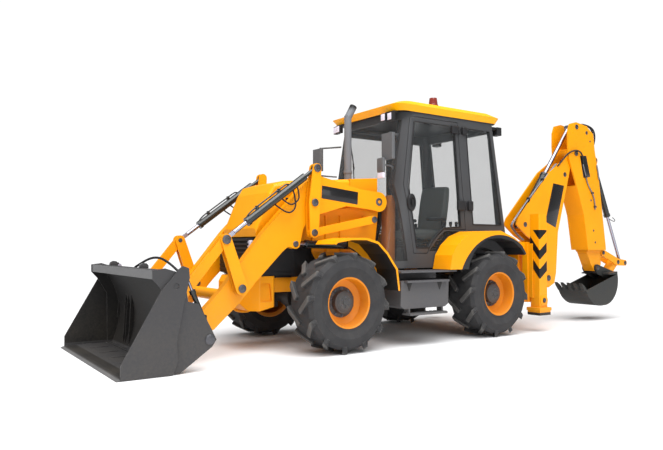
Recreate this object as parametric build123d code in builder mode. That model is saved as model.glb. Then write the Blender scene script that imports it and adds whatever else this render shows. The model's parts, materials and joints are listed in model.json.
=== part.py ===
"""Backhoe loader: compact four-wheel-drive machine with parallel-lift loader, four-in-one
shovel and side-shift backhoe.

Stations are in millimetres: X runs forward from the rear axle, Y to the driver's left and
Z up from the ground. When every piece is made, all are moved together, so that the shared
frame's origin lies on the ground under the middle of the machine's box.
"""
from build123d import *
from math import cos, hypot, radians, sin, tan
import os

# ---------------------------------------------------------------- driving dimensions
WHEELBASE = 2180
AXLE_Z = 505            # axle height, equal to the radius at the lug tips
TRACK_HALF = 815        # middle of a tyre from the centre plane
CARCASS_R = 470
BEAD_R = 256
LUG_COUNT = 12          # lugs in each of a tyre's two rows
LUG_LEAN = 42
RIM_HALF = 192
FLANGE_R = 284
KINGPIN_Y = 700
KINGPIN_R = 22
HUB_FACE_Y = 834        # where an axle's hub meets its wheel

RUNNING = 0.3           # radial clearance of a pin in its bore
SIDE_GAP = 6            # side clearance between moving plates

RAIL_IN, RAIL_OUT = 230, 330
TOWER_IN, TOWER_OUT = 400, 422

# loader: pins at their stations (X, Z), planes as distances from the centre plane
ARM_IN, ARM_OUT = 455, 545
ARM_MID = (ARM_IN + ARM_OUT) / 2
LEVER_WALL = 16
LINK_IN, LINK_OUT = 569, 615       # the gap between the lever's plates carries eyes and bars
LINK_MID = (LINK_IN + LINK_OUT) / 2
ARM_PIVOT = (1449, 1561)
LEVER_PIN = (2357, 1515)
LEVER_LOW = (2357, 1205)
LEVER_TOP = (2325, 1873)
LINK_REAR = (1571, 1358)
CRANK_PIN = (3176, 664)
CRANK_TOP = (3340, 1131)
SHOVEL_PIN = (3740, 270)
SHOVEL_TOP = (3800, 570)
LIFT_BASE = (1540, 1070)
LIFT_EYE = (2530, 1090)
LIFT_TUBE_R, LIFT_ROD_R = 42, 24
TILT_TUBE_R, TILT_ROD_R = 40, 22
BIG_PIN_R, SMALL_PIN_R = 30, 22

# shovel
SHOVEL_HALF = 1030
SHOVEL_WALL = 16
JAW_PIVOT = (3974, 736)
JAW_EAR = (3880, 850)
JAW_BASE = (3700, 430)
JAW_CYLINDER_Y = 966
JAW_TUBE_R, JAW_ROD_R = 26, 14
LIP_X = 4458

# backhoe: pins at their stations (X, Z), planes as distances from its own mid plane
HOE_Y = 450
SWING_X = -1180
BOOM_OUT, BOOM_PLATE = 111, 20
DIPPER_OUT, DIPPER_PLATE = 140, 22
BOOM_PIVOT = (-1480, 632)
BOOM_BASE = (-1305, 1050)
BOOM_EYE = (-1870, 2074)
DIPPER_BASE = (-1012, 1355)
DIPPER_EYE = (-2113, 2770)
DIPPER_PIVOT = (-2087, 2388)
CROWD_BASE = (-2675, 2338)
CROWD_EYE = (-3362, 810)
TIP_PIVOT = (-2794, 970)
TIP_LINK = (-3176, 824)
BUCKET_LINK = (-2985, 650)
BUCKET_PIVOT = (-2611, 746)
SLIDE = (-0.1504, -0.9886)         # direction in which the dipper's extension runs out
BUCKET_HALF = 230
HOE_TUBE_R, HOE_ROD_R = 52, 28
CROWD_TUBE_R, CROWD_ROD_R = 42, 23
HOE_PIN_R = 30

# stabilisers
LEG_X = (-886, -736)
LEG_Y = (850, 1000)
LEG_Z = (300, 1470)
FOOT_Z = 205

# cab: outlines at the floor and under the roof
CAB_FLOOR, CAB_TOP = 820, 2610
CAB_LOW = dict(rear=-560, front=1430, half=720)
CAB_HIGH = dict(rear=-340, front=1190, half=640)
CAB_WALL = 42
SIDES = (1, -1)


# ---------------------------------------------------------------- shared forms
def spans(y_low, y_high):
    """The same span on the left and on the right of the centre plane."""
    return ((y_low, y_high), (-y_high, -y_low))


def hoe_spans(y_low, y_high):
    """The same span on both sides of the backhoe's own mid plane."""
    return ((HOE_Y + y_low, HOE_Y + y_high), (HOE_Y - y_high, HOE_Y - y_low))


def hoe_span(half):
    """A span centred on the backhoe's own mid plane."""
    return (HOE_Y - half, HOE_Y + half)


def slab(outline, span, corner=0, mode=Mode.ADD):
    """Plate with an X-Z outline, standing between the two Y planes of its span."""
    with BuildSketch(Plane.XZ.offset(-span[1])) as face:
        with BuildLine():
            Polyline(*outline, close=True)
        make_face()
        if corner:
            fillet(face.vertices(), corner)
    extrude(face.sketch, amount=span[1] - span[0], mode=mode)


def drum(place, radius, span, mode=Mode.ADD):
    """Round bar or hole along Y."""
    with BuildSketch(Plane.XZ.offset(-span[1])) as face:
        with Locations(place):
            Circle(radius)
    extrude(face.sketch, amount=span[1] - span[0], mode=mode)


def hull(ends, span, mode=Mode.ADD):
    """Plate stretched round circles given as (x, z, radius)."""
    with BuildSketch(Plane.XZ.offset(-span[1])) as face:
        for x, z, radius in ends:
            with Locations((x, z)):
                Circle(radius)
        make_hull()
    extrude(face.sketch, amount=span[1] - span[0], mode=mode)


def block(x_span, y_span, z_span, mode=Mode.ADD):
    """Box between three pairs of planes."""
    spans_xyz = (x_span, y_span, z_span)
    with Locations(tuple((low + high) / 2 for low, high in spans_xyz)):
        Box(*[high - low for low, high in spans_xyz], mode=mode)


def strut(start, end, radius, mode=Mode.ADD):
    """Round bar between two points in space."""
    tail, head = Vector(*start), Vector(*end)
    with BuildSketch(Plane(origin=tail, z_dir=head - tail)) as face:
        Circle(radius)
    extrude(face.sketch, amount=(head - tail).length, mode=mode)


def between(start, end, distance):
    """The (X, Z) place at a distance from start on the way to end."""
    share = distance / hypot(end[0] - start[0], end[1] - start[1])
    return (start[0] + share * (end[0] - start[0]), start[1] + share * (end[1] - start[1]))


def beside(start, end, distance, offset):
    """A place like between(), moved sideways to the left of the way by an offset."""
    x, z = between(start, end, distance)
    length = hypot(end[0] - start[0], end[1] - start[1])
    return (x - offset * (end[1] - start[1]) / length, z + offset * (end[0] - start[0]) / length)


def at(place, y):
    """An (X, Z) station as a point in space."""
    return (place[0], y, place[1])


def along_slide(place, distance):
    """An (X, Z) place moved along the dipper's slide."""
    return (place[0] + distance * SLIDE[0], place[1] + distance * SLIDE[1])


def barrel(base, eye, y, tube_radius, rod_radius, neck, length, eye_half, pin_radius):
    """Hydraulic barrel: eye on its base pin, tube, end gland and the bore for the rod."""
    drum(base, tube_radius, (y - eye_half, y + eye_half))
    strut(at(between(base, eye, pin_radius + 6), y), at(between(base, eye, neck + 5), y),
          eye_half - 1)
    strut(at(between(base, eye, neck), y), at(between(base, eye, length), y), tube_radius)
    strut(at(between(base, eye, length - 35), y), at(between(base, eye, length), y),
          tube_radius + 6)
    strut(at(between(base, eye, neck + 20), y), at(between(base, eye, length + 5), y),
          rod_radius + 1, mode=Mode.SUBTRACT)
    drum(base, pin_radius + RUNNING, (y - eye_half - 1, y + eye_half + 1), mode=Mode.SUBTRACT)


def rod(base, eye, y, rod_radius, inner_end, eye_radius, eye_half):
    """Piston rod from its inner end, measured from the barrel's base, to its eye."""
    strut(at(between(base, eye, inner_end), y), at(eye, y), rod_radius)
    drum(eye, eye_radius, (y - eye_half, y + eye_half))


def cab_form(grow, mode=Mode.ADD):
    """The cab's solid form from floor to roof, grown outwards or inwards."""
    sections = []
    for level, plan in ((CAB_FLOOR, CAB_LOW), (CAB_TOP, CAB_HIGH)):
        rear, front = plan["rear"] - grow, plan["front"] + grow
        half = plan["half"] + grow
        with BuildSketch(Plane.XY.offset(level)) as plan_face:
            with BuildLine():
                Polyline((rear, -half), (front, -half), (front, half), (rear, half), close=True)
            make_face()
            fillet(plan_face.vertices().sort_by(Axis.X)[-2:], 250 + grow)
            fillet(plan_face.vertices().sort_by(Axis.X)[:2], 90 + grow)
        sections.append(plan_face.sketch)
    loft(sections, mode=mode)


# ================================================================ wheels
SIDEWALL = [(-180, BEAD_R), (-182, 292), (-212, 355), (-200, 435), (-160, CARCASS_R),
            (160, CARCASS_R), (200, 435), (212, 355), (182, 292), (180, BEAD_R)]
LUG_TOP = 498

with BuildPart() as lug:
    with Locations(Location((0, 118, 470)) * Rotation(0, 0, LUG_LEAN)):
        Box(44, 230, 90)
    with BuildSketch(Plane.YZ.offset(-130)) as lug_section:
        with BuildLine():
            Polyline((25, 400), (25, LUG_TOP), (184, LUG_TOP), (207, 462), (207, 400),
                     close=True)
        make_face()
    extrude(lug_section.sketch, amount=260, mode=Mode.INTERSECT)

with BuildPart() as master_tyre:
    for place, radius in SIDEWALL:
        with BuildSketch(Plane.XZ.offset(-place)):
            RegularPolygon(radius, 2 * LUG_COUNT)
    loft(ruled=True)
    with BuildSketch(Plane.XZ.offset(-186)) as bead:
        Circle(BEAD_R)
    extrude(bead.sketch, amount=372, mode=Mode.SUBTRACT)
    pitch = 360 / LUG_COUNT
    add([lug.part.moved(Rotation(0, index * pitch, 0)) for index in range(LUG_COUNT)])
    far_lug = mirror(lug.part, about=Plane.XZ, mode=Mode.PRIVATE)
    add([far_lug.moved(Rotation(0, (index + 0.5) * pitch, 0)) for index in range(LUG_COUNT)])

RIM_SECTION = [(-RIM_HALF, FLANGE_R), (-RIM_HALF, FLANGE_R - 12), (-180, 240), (34, 240),
               (20, 170), (20, 0), (112, 0), (112, 70), (92, 112), (44, 118), (34, 165),
               (50, 226), (175, 240), (RIM_HALF, FLANGE_R - 12), (RIM_HALF, FLANGE_R),
               (185, FLANGE_R), (185, BEAD_R - RUNNING), (-185, BEAD_R - RUNNING),
               (-185, FLANGE_R)]

with BuildPart() as master_rim:
    with BuildSketch(Plane.YZ) as rim_section:
        with BuildLine():
            Polyline(*RIM_SECTION, close=True)
        make_face()
    revolve(rim_section.sketch, axis=Axis.Y)

pieces = {}
WHEELS = (("front_left", WHEELBASE, 1), ("front_right", WHEELBASE, -1),
          ("rear_left", 0, 1), ("rear_right", 0, -1))
for corner, station, side in WHEELS:
    place = Location((station, side * TRACK_HALF, AXLE_Z))
    for kind, master in (("tyre", master_tyre), ("rim", master_rim)):
        with BuildPart() as wheel_piece:
            if side > 0:
                add(master.part.moved(place))
            else:
                add(mirror(master.part, about=Plane.XZ, mode=Mode.PRIVATE).moved(place))
        pieces[f"{kind}_{corner}"] = wheel_piece

# ================================================================ axles and knuckles
YOKE_IN, YOKE_OUT = 130, 162       # height of a kingpin arm above and below the axle

with BuildPart() as axle_housings:
    for station, reach in ((WHEELBASE, 600), (0, HUB_FACE_Y - 20)):
        drum((station, AXLE_Z), 84, (-reach, reach))
        for low, high, radius in ((-60, 60, 165), (-190, 190, 125), (-215, 215, 100)):
            drum((station, AXLE_Z), radius, (low, high))
        block((station - 70, station + 70), (-320, 320), (AXLE_Z + 60, 590))
    for low, high in spans(560, 628):
        block((WHEELBASE - 62, WHEELBASE + 62), (low, high), (AXLE_Z - YOKE_OUT, AXLE_Z + YOKE_OUT))
    for y in (KINGPIN_Y, -KINGPIN_Y):
        inner = 600 if y > 0 else -600
        for level in (AXLE_Z + YOKE_IN, AXLE_Z - YOKE_OUT):
            arm_span = (min(inner, y), max(inner, y))
            block((WHEELBASE - 50, WHEELBASE + 50), arm_span, (level, level + YOKE_OUT - YOKE_IN))
            with Locations((WHEELBASE, y, level + (YOKE_OUT - YOKE_IN) / 2)):
                Cylinder(50, YOKE_OUT - YOKE_IN)
        with Locations((WHEELBASE, y, AXLE_Z)):
            Cylinder(KINGPIN_R + RUNNING, 2 * YOKE_OUT + 4, mode=Mode.SUBTRACT)
    for low, high in spans(600, HUB_FACE_Y):
        drum((0, AXLE_Z), 115, (low, high))
    drum((WHEELBASE - 175, AXLE_Z - 75), 28, (-300, 300))
    block((WHEELBASE - 170, WHEELBASE - 60), (-40, 40), (AXLE_Z - 92, AXLE_Z - 62))

for name, side in (("left", 1), ("right", -1)):
    with BuildPart() as knuckle:
        outer = HUB_FACE_Y
        drum((WHEELBASE, AXLE_Z), 112, (712, outer) if side > 0 else (-outer, -712))
        with Locations((WHEELBASE, side * KINGPIN_Y, AXLE_Z)):
            Cylinder(52, 2 * YOKE_IN - 6)
            Cylinder(KINGPIN_R, 2 * YOKE_OUT + 12)
        block((WHEELBASE - 185, WHEELBASE - 30),
              (min(side * 685, side * 715), max(side * 685, side * 715)), (AXLE_Z - 20, AXLE_Z + 20))
    pieces[f"knuckle_{name}"] = knuckle

# ================================================================ chassis
with BuildPart() as chassis_frame:
    for low, high in spans(RAIL_IN, RAIL_OUT):
        slab([(-600, 470), (-190, 470), (-130, 590), (130, 590), (190, 470), (1500, 470),
              (1720, 590), (2660, 590), (2660, 740), (1650, 740), (1350, 720), (-600, 720)],
             (low, high))
    for low, high in ((-560, -500), (560, 640)):
        block((low, high), (-RAIL_IN, RAIL_IN), (560, 690))
    block((2560, 2640), (-RAIL_IN, RAIL_IN), (600, 730))
    for low, high in spans(TOWER_IN, TOWER_OUT):
        slab([(1300, 640), (1300, 775), (1448, 800), (1385, 1300), (1362, 1500), (1380, 1650),
              (1540, 1660), (1700, 1500), (2120, 1440), (2250, 1300), (2250, 1000), (2180, 900),
              (1760, 900), (1740, 640)], (low, high), corner=20)
    for low, high in spans(RAIL_OUT, TOWER_IN):
        block((1300, 1420), (low, high), (640, 715))
        block((1600, 1720), (low, high), (650, 745))
    for low, high in spans(TOWER_OUT, TOWER_OUT + 22):
        for station in (1900, 2090):
            block((station - 8, station + 8), (low, high), (1010, 1400))
        block((1760, 2250), (low, high), (994, 1010))
    for low, high in spans(TOWER_OUT, ARM_IN - SIDE_GAP):
        drum(ARM_PIVOT, 75, (low, high))
        drum(LIFT_BASE, 55, (low, high))
    for low, high in spans(TOWER_OUT, LINK_OUT + 6):
        drum(LINK_REAR, SMALL_PIN_R, (low, high))
    for low, high in spans(TOWER_OUT, LINK_IN - SIDE_GAP):
        drum(LINK_REAR, 42, (low, high))
    for low, high in spans(TOWER_OUT, ARM_OUT + 8):
        drum(ARM_PIVOT, BIG_PIN_R, (low, high))
    for low, high in spans(TOWER_OUT, ARM_MID + 44):
        drum(LIFT_BASE, SMALL_PIN_R, (low, high))

with BuildPart() as front_nose:
    with BuildSketch(Plane.XY.offset(410)) as nose_plan:
        with BuildLine():
            Polyline((2664, -340), (2664, 340), (2700, 392), (2860, 392), (3040, 215), (3040, -215),
                     (2860, -392), (2700, -392), close=True)
        make_face()
        fillet(nose_plan.vertices(), 18)
    extrude(nose_plan.sketch, amount=350)
    slab([(2600, 400), (2600, 470), (2900, 400)], (-400, 400), mode=Mode.SUBTRACT)
    slab([(3060, 400), (2940, 400), (3045, 520), (3060, 520)], (-400, 400), mode=Mode.SUBTRACT)
    slab([(3060, 770), (2960, 770), (3045, 690), (3060, 690)], (-400, 400), mode=Mode.SUBTRACT)
    for low, high in spans(365, 400):
        slab([(2720, 500), (2850, 500), (2850, 690), (2740, 690)], (low, high), corner=20,
             mode=Mode.SUBTRACT)

with BuildPart() as radiator_housing:
    block((2450, 2900), (-380, 380), (764, 1105))
    block((2450, 2880), (-360, 360), (1105, 1150))
    slab([(2880, 1155), (2925, 1155), (2955, 980), (2955, 790), (2880, 764)], (-366, 366))
    for index in range(8):
        level = 815 + 44 * index
        block((2900, 2975), (-330, 330), (level, level + 20))
    for low, high in spans(380, 388):
        slab([(2480, 800), (2520, 1090), (2640, 1090), (2880, 820)], (low, high), corner=18)
    for low, high in spans(RAIL_IN, RAIL_OUT):
        block((2455, 2655), (low, high), (740, 764))

with BuildPart() as engine_block:
    block((1560, 2420), (-212, 212), (690, 1430))
    block((780, 1540), (-190, 190), (420, 780))
    drum((1760, 1500), 90, (-150, 150))
    block((1540, 1560), (-150, 150), (500, 760))
    for low, high in spans(180, RAIL_IN):
        block((1200, 1280), (low, high), (600, 660))
        block((1800, 1880), (low, high), (690, 735))
    for start, end in ((1535, WHEELBASE - 172), (785, 172)):
        strut((start, 0, AXLE_Z), (end, 0, AXLE_Z), 38)

# ================================================================ body panels
BONNET_REAR = 1740
BONNET_HALF = 386
# section of the bonnet: station, top and lower edge
BONNET_SECTIONS = ((BONNET_REAR, 1815, 1120), (2560, 1752, 1120), (2690, 1712, 1140),
                   (2750, 1620, 1155), (2905, 1250, 1165))


def bonnet_form(wall, deeper):
    """The bonnet's solid form, drawn in by the thickness of its wall."""
    sections = []
    for station, top, low in BONNET_SECTIONS:
        if station == BONNET_REAR:
            station -= deeper
        else:
            station -= wall
        half = BONNET_HALF - wall
        with BuildSketch(Plane.YZ.offset(station)) as section:
            with BuildLine():
                Polyline((-half, low - deeper), (half, low - deeper), (half, top - wall),
                         (-half, top - wall), close=True)
            make_face()
            fillet(section.vertices().sort_by(Axis.Y)[-2:], 55)
        sections.append(section.sketch)
    loft(sections, ruled=True)


with BuildPart() as bonnet_room:
    bonnet_form(14, 20)
with BuildPart() as bonnet:
    bonnet_form(0, 0)
    add(bonnet_room.part, mode=Mode.SUBTRACT)

COWL_REAR = 1348
with BuildPart() as fenders:
    slab([(COWL_REAR, 1500), (COWL_REAR, 1846), (BONNET_REAR - 6, 1816), (BONNET_REAR - 6, 1500)],
         (-BONNET_HALF, BONNET_HALF))
    slab([(COWL_REAR - 5, 1490), (COWL_REAR - 5, 1830), (BONNET_REAR, 1800), (BONNET_REAR, 1490)],
         (-BONNET_HALF + 14, BONNET_HALF - 14), mode=Mode.SUBTRACT)
    with Locations((1640, 215, 1800)):
        Cylinder(54, 200, mode=Mode.SUBTRACT)
    for low, high in spans(652, 1000):
        slab([(2360, 1085), (2330, 1125), (2150, 1152), (1960, 1152), (1810, 1110), (1690, 1000),
              (1560, 830), (1530, 600), (1552, 600), (1584, 822), (1708, 984), (1822, 1088),
              (1965, 1128), (2150, 1128), (2322, 1100), (2340, 1080)], (low, high))
    for low, high in spans(640, 668):
        slab([(1545, 600), (1565, 850), (1690, 1000), (1810, 1110), (1960, 1150), (1960, 1060),
              (1840, 1000), (1720, 860), (1610, 600)], (low, high))
    for low, high in spans(728, 1008):
        slab([(812, 806), (775, 965), (690, 1080), (560, 1180), (380, 1240), (-20, 1250),
              (-270, 1165), (-400, 1075), (-475, 975), (-450, 960), (-370, 1045), (-240, 1125),
              (-20, 1165), (200, 1150), (340, 1085), (440, 985), (505, 860), (520, 806)],
             (low, high))
    for low, high in spans(RAIL_OUT, 760):
        block((530, 610), (low, high), (775, 806))
    for low, high in spans(RAIL_OUT, RAIL_OUT + 30):
        block((530, 610), (low, high), (650, 780))
    for low, high in spans(TOWER_OUT, 668):
        block((1772, 1828), (low, high), (930, 975))

with BuildPart() as side_boxes:
    for low, high in spans(640, 960):
        slab([(800, 430), (790, 700), (1480, 700), (1490, 430), (1440, 400), (850, 400)],
             (low, high), corner=15)
    for low, high in spans(640, 985):
        block((690, 1500), (low, high), (782, 800))
    for low, high in spans(960, 1015):
        block((830, 1440), (low, high), (678, 700))
    for low, high in spans(640, 660):
        block((700, 1490), (low, high), (700, 782))
    for low, high in spans(880, 1012):
        block((860, 1400), (low, high), (330, 352))
        for station in (880, 1360):
            block((station, station + 20), (low, high - 50), (352, 405))
    for low, high in spans(RAIL_OUT, 640):
        for station in (850, 1380):
            block((station, station + 60), (low, high), (520, 600))

# ================================================================ cab
# the door's lower rear edge is cut so that it swings clear over the fender
DOOR = [(1056, 2560), (1180, 1760), (1090, 985), (880, 980), (808, 1090), (705, 1190),
        (600, 1262), (246, 1262), (262, 1560), (318, 2560)]
DOOR_PANE = [(1010, 2500), (1126, 1740), (1052, 1130), (1040, 1050), (858, 1050), (820, 1100),
             (718, 1204), (608, 1280), (330, 1300), (336, 1560), (376, 2500)]
LOW_PANE = [(850, 1010), (786, 1080), (688, 1174), (590, 1242), (300, 1242), (360, 1170),
            (560, 1010)]
QUARTER_PANE = [(178, 2500), (120, 1330), (-380, 1330), (-235, 2500)]
REAR_PANE_Z = (1330, 2500)
FRONT_PANE = [(1130, 2520), (1350, 2520), (1500, 1300), (1500, 900), (1180, 900), (1256, 1760)]
DOOR_GAP = 6


def door_outline(gap):
    """The door's outline drawn in by a gap."""
    return [(x + gap * (1 if x < 900 else -1), z + gap * (1 if z < 1900 else -1))
            for x, z in DOOR]


with BuildPart() as cab_core:
    cab_form(-CAB_WALL)
with BuildPart() as cab_skin:
    cab_form(0)
    add(cab_core.part, mode=Mode.SUBTRACT)
with BuildPart() as pane_core:
    cab_form(-20)
with BuildPart() as pane_skin:
    cab_form(-12)
    add(pane_core.part, mode=Mode.SUBTRACT)


with BuildPart() as wheel_arches:
    for low, high in spans(575, 760):
        drum((0, AXLE_Z), 560, (low, high))
    cab_form(0, mode=Mode.INTERSECT)

with BuildPart() as cab_frame:
    add(cab_skin.part)
    add(wheel_arches.part)
    for low, high in spans(588, 900):
        drum((0, AXLE_Z), 545, (low, high), mode=Mode.SUBTRACT)
    slab(FRONT_PANE, (-900, 900), mode=Mode.SUBTRACT)
    for low, high in spans(500, 900):
        slab(DOOR, (low, high), mode=Mode.SUBTRACT)
        slab(QUARTER_PANE, (low, high), mode=Mode.SUBTRACT)
        slab(LOW_PANE, (low, high), mode=Mode.SUBTRACT)
    block((-700, -250), (-540, 540), REAR_PANE_Z, mode=Mode.SUBTRACT)
    block((-500, 1380), (-575, 575), (CAB_FLOOR, CAB_FLOOR + 28))
    block((570, 1300), (-670, 670), (CAB_FLOOR, CAB_FLOOR + 28))
    for low, high in spans(RAIL_IN, RAIL_OUT):
        for station in (-300, 900):
            block((station, station + 90), (low, high), (720, CAB_FLOOR))

with BuildPart() as cab_glass:
    with BuildPart(mode=Mode.PRIVATE) as glass_volumes:
        slab(FRONT_PANE, (-900, 900))
        for low, high in spans(500, 900):
            slab(QUARTER_PANE, (low, high))
            slab(LOW_PANE, (low, high))
        block((-700, -250), (-540, 540), REAR_PANE_Z)
    add(pane_skin.part)
    add(glass_volumes.part, mode=Mode.INTERSECT)

for name, (low, high) in (("left", (500, 900)), ("right", (-900, -500))):
    with BuildPart() as door_space:
        slab(door_outline(DOOR_GAP), (low, high))
    with BuildPart() as pane_space:
        slab(DOOR_PANE, (low, high))
    with BuildPart() as door:
        add(cab_skin.part)
        add(door_space.part, mode=Mode.INTERSECT)
        add(pane_space.part, mode=Mode.SUBTRACT)
    with BuildPart() as door_pane:
        add(pane_skin.part)
        add(pane_space.part, mode=Mode.INTERSECT)
    with BuildPart() as whole_door:
        add(door.part)
        add(door_pane.part)
    pieces[f"door_{name}"] = whole_door

with BuildPart() as cab_roof:
    for level, rear, front, half in ((CAB_TOP, -400, 1235, 655), (CAB_TOP + 70, -430, 1290, 690),
                                     (CAB_TOP + 130, -330, 1130, 600)):
        with BuildSketch(Plane.XY.offset(level)) as roof_plan:
            with Locations(((rear + front) / 2, 0)):
                RectangleRounded(front - rear, 2 * half, 120)
    loft(ruled=True)

with BuildPart() as cab_interior:
    block((150, 620), (-240, 240), (CAB_FLOOR + 28, 1150))
    block((150, 640), (-250, 250), (1150, 1260))
    slab([(120, 1200), (20, 1830), (110, 1850), (240, 1260)], (-235, 235), corner=30)
    strut((1180, 0, 900), (960, 0, 1560), 45)
    strut((960, 0, 1560), (951, 0, 1587), 190)
    block((1060, 1260), (-330, 330), (CAB_FLOOR + 28, 1120))
    for low, high in spans(300, 480):
        block((-300, 350), (low, high), (CAB_FLOOR + 28, 1130))

with BuildPart() as exhaust_stack:
    strut((1640, 215, 1432), (1640, 215, 2560), 42)
    strut((1640, 215, 2540), (1560, 215, 2680), 42)

LAMP_Z = 2545
with BuildPart() as mirrors_and_lamps:
    for side in SIDES:
        for station, y in ((1240, 545), (1262, 455)):
            block((station, station + 55), (min(side * (y - 40), side * (y + 40)),
                                            max(side * (y - 40), side * (y + 40))),
                  (LAMP_Z - 50, LAMP_Z + 45))
        block((1198, 1262), (min(side * 415, side * 585), max(side * 415, side * 585)),
              (LAMP_Z + 45, CAB_TOP))
        block((-520, -430), (min(side * 500, side * 600), max(side * 500, side * 600)),
              (LAMP_Z - 60, LAMP_Z + 45))
        block((-432, -352), (min(side * 520, side * 580), max(side * 520, side * 580)),
              (LAMP_Z + 10, LAMP_Z + 45))
        strut((1187, side * 562, 2340), (1420, side * 700, 2320), 11)
        strut((1420, side * 700, 2330), (1420, side * 700, 2050), 11)
        block((1428, 1470), (min(side * 620, side * 800), max(side * 620, side * 800)),
              (2020, 2310))
    with Locations((560, 480, CAB_TOP + 130)):
        Cylinder(62, 30, align=(Align.CENTER, Align.CENTER, Align.MIN))
    with Locations((560, 480, CAB_TOP + 160)):
        Cone(55, 45, 85, align=(Align.CENTER, Align.CENTER, Align.MIN))

# ================================================================ rear frame and stabilisers
RAIL_X = (-700, -620)
with BuildPart() as rear_frame:
    for low, high in ((360, 460), (1020, 1120)):
        block(RAIL_X, (-800, 800), (low, high))
    for low, high in spans(RAIL_IN, RAIL_OUT):
        slab([(-600, 470), (-620, 360), (-620, 1120), (-578, 1120), (-578, 800), (-480, 760),
              (-480, 720), (-600, 720)], (low, high))
    for low, high in spans(760, 842):
        block((-906, -700), (low, high), (360, 1120))
    for low, high in spans(842, 905):
        block((-906, LEG_X[0] - 6), (low, high), (420, 1100))
        block((LEG_X[1] + 6, LEG_X[1] + 22), (low, high), (420, 1100))

for name, side in (("left", 1), ("right", -1)):
    with BuildPart() as leg:
        low, high = (LEG_Y if side > 0 else (-LEG_Y[1], -LEG_Y[0]))
        block(LEG_X, (low, high), LEG_Z)
        fillet(leg.edges().filter_by(Axis.Z), 14)
        middle = side * (LEG_Y[0] + LEG_Y[1]) / 2
        block((-922, -700), (middle - 103, middle + 103), (FOOT_Z + 55, FOOT_Z + 95))
        block((-914, -708), (middle - 95, middle + 95), (FOOT_Z, FOOT_Z + 55))
        drum((-811, LEG_Z[0] + 90), 34, (low - 6, high + 8))
    pieces[f"stabiliser_{name}"] = leg

# tie-down eyes: outline, place of the hole and distance from the centre plane
TIE_DOWNS = (
    ([(3041, 570), (3041, 480), (3060, 440), (3115, 440), (3125, 500), (3090, 570)],
     (3083, 490), 190),
    ([(-470, 469), (-590, 469), (-575, 400), (-485, 400)], (-530, 432), 280),
)
with BuildPart() as tie_down_eyes:
    for outline, hole, y in TIE_DOWNS:
        for low, high in spans(y - 12, y + 12):
            slab(outline, (low, high))
            drum(hole, 22, (low - 1, high + 1), mode=Mode.SUBTRACT)

# ================================================================ loader
ARM_OUTLINE = [(1449, 1671), (1700, 1690), (2215, 1800), (2330, 1790), (2410, 1730),
               (2630, 1490), (2890, 1220), (3200, 840), (3360, 640), (3540, 460), (3775, 325),
               (3800, 240), (3700, 205), (3420, 286), (3160, 520), (2990, 710), (2687, 1010),
               (2495, 1160), (2405, 1300), (2245, 1400), (1890, 1500), (1560, 1470),
               (1449, 1451)]
with BuildPart() as loader_arms:
    for low, high in spans(ARM_IN, ARM_OUT):
        slab(ARM_OUTLINE, (low, high))
        drum(ARM_PIVOT, 110, (low, high))
        drum(SHOVEL_PIN, 68, (low, high))
        drum(ARM_PIVOT, BIG_PIN_R + RUNNING, (low - 1, high + 1), mode=Mode.SUBTRACT)
        drum(SHOVEL_PIN, BIG_PIN_R + RUNNING, (low - 1, high + 1), mode=Mode.SUBTRACT)
        drum(CRANK_PIN, BIG_PIN_R + RUNNING, (low - 1, high + 1), mode=Mode.SUBTRACT)
    for low, high in spans(ARM_OUT, LINK_OUT + LEVER_WALL + 10):
        drum(LEVER_PIN, SMALL_PIN_R, (low, high))
    for low, high in (*spans(ARM_IN, ARM_IN + 18), *spans(ARM_OUT - 18, ARM_OUT)):
        hull([(2500, 1260, 60), (*LIFT_EYE, 50), (2640, 1130, 60)], (low, high))
    for low, high in spans(ARM_IN + 18, ARM_OUT - 18):
        drum(LIFT_EYE, 135, (low, high), mode=Mode.SUBTRACT)
    drum((3250, 585), 58, (-ARM_IN, ARM_IN))

LEVER_INNER = (LINK_IN - 2 - LEVER_WALL, LINK_IN - 2)
LEVER_OUTER = (LINK_OUT + 2, LINK_OUT + 2 + LEVER_WALL)
with BuildPart() as levers:
    for plate in (LEVER_INNER, LEVER_OUTER):
        for low, high in spans(*plate):
            hull([(*LEVER_TOP, 50), (*LEVER_PIN, 66), (*LEVER_LOW, 52)], (low, high))
            drum(LEVER_PIN, SMALL_PIN_R + RUNNING, (low - 1, high + 1), mode=Mode.SUBTRACT)
    for low, high in spans(LEVER_INNER[0], LEVER_OUTER[1] + 4):
        drum(LEVER_TOP, SMALL_PIN_R, (low, high))
    for low, high in spans(LEVER_INNER[0] + 1, LEVER_OUTER[1] - 1):
        hull([(2345, 1660, 14), (2350, 1630, 14)], (low, high))

with BuildPart() as parallel_links:
    for low, high in spans(LINK_IN, LINK_OUT):
        hull([(*LINK_REAR, 42), (*LEVER_LOW, 40)], (low, high))
        drum(LINK_REAR, SMALL_PIN_R + RUNNING, (low - 1, high + 1), mode=Mode.SUBTRACT)

with BuildPart() as crank_pins:
    for low, high in spans(ARM_IN - 8, LEVER_OUTER[1] + 8):
        drum(CRANK_PIN, BIG_PIN_R, (low, high))

with BuildPart() as bell_cranks:
    for plate in (LEVER_INNER, LEVER_OUTER):
        for low, high in spans(*plate):
            hull([(*CRANK_PIN, 62), (*CRANK_TOP, 54)], (low, high))
            drum(CRANK_PIN, BIG_PIN_R + RUNNING, (low - 1, high + 1), mode=Mode.SUBTRACT)
            drum(CRANK_TOP, SMALL_PIN_R + RUNNING, (low - 1, high + 1), mode=Mode.SUBTRACT)
    for low, high in spans(LEVER_INNER[0] + 1, LEVER_OUTER[1] - 1):
        drum((3235, 832), 20, (low, high))

with BuildPart() as link_pins:
    for low, high in (*spans(LEVER_INNER[0] - 4, LINK_MID - 13),
                      *spans(LINK_MID + 13, LEVER_OUTER[1] + 8)):
        drum(CRANK_TOP, SMALL_PIN_R, (low, high))

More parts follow.
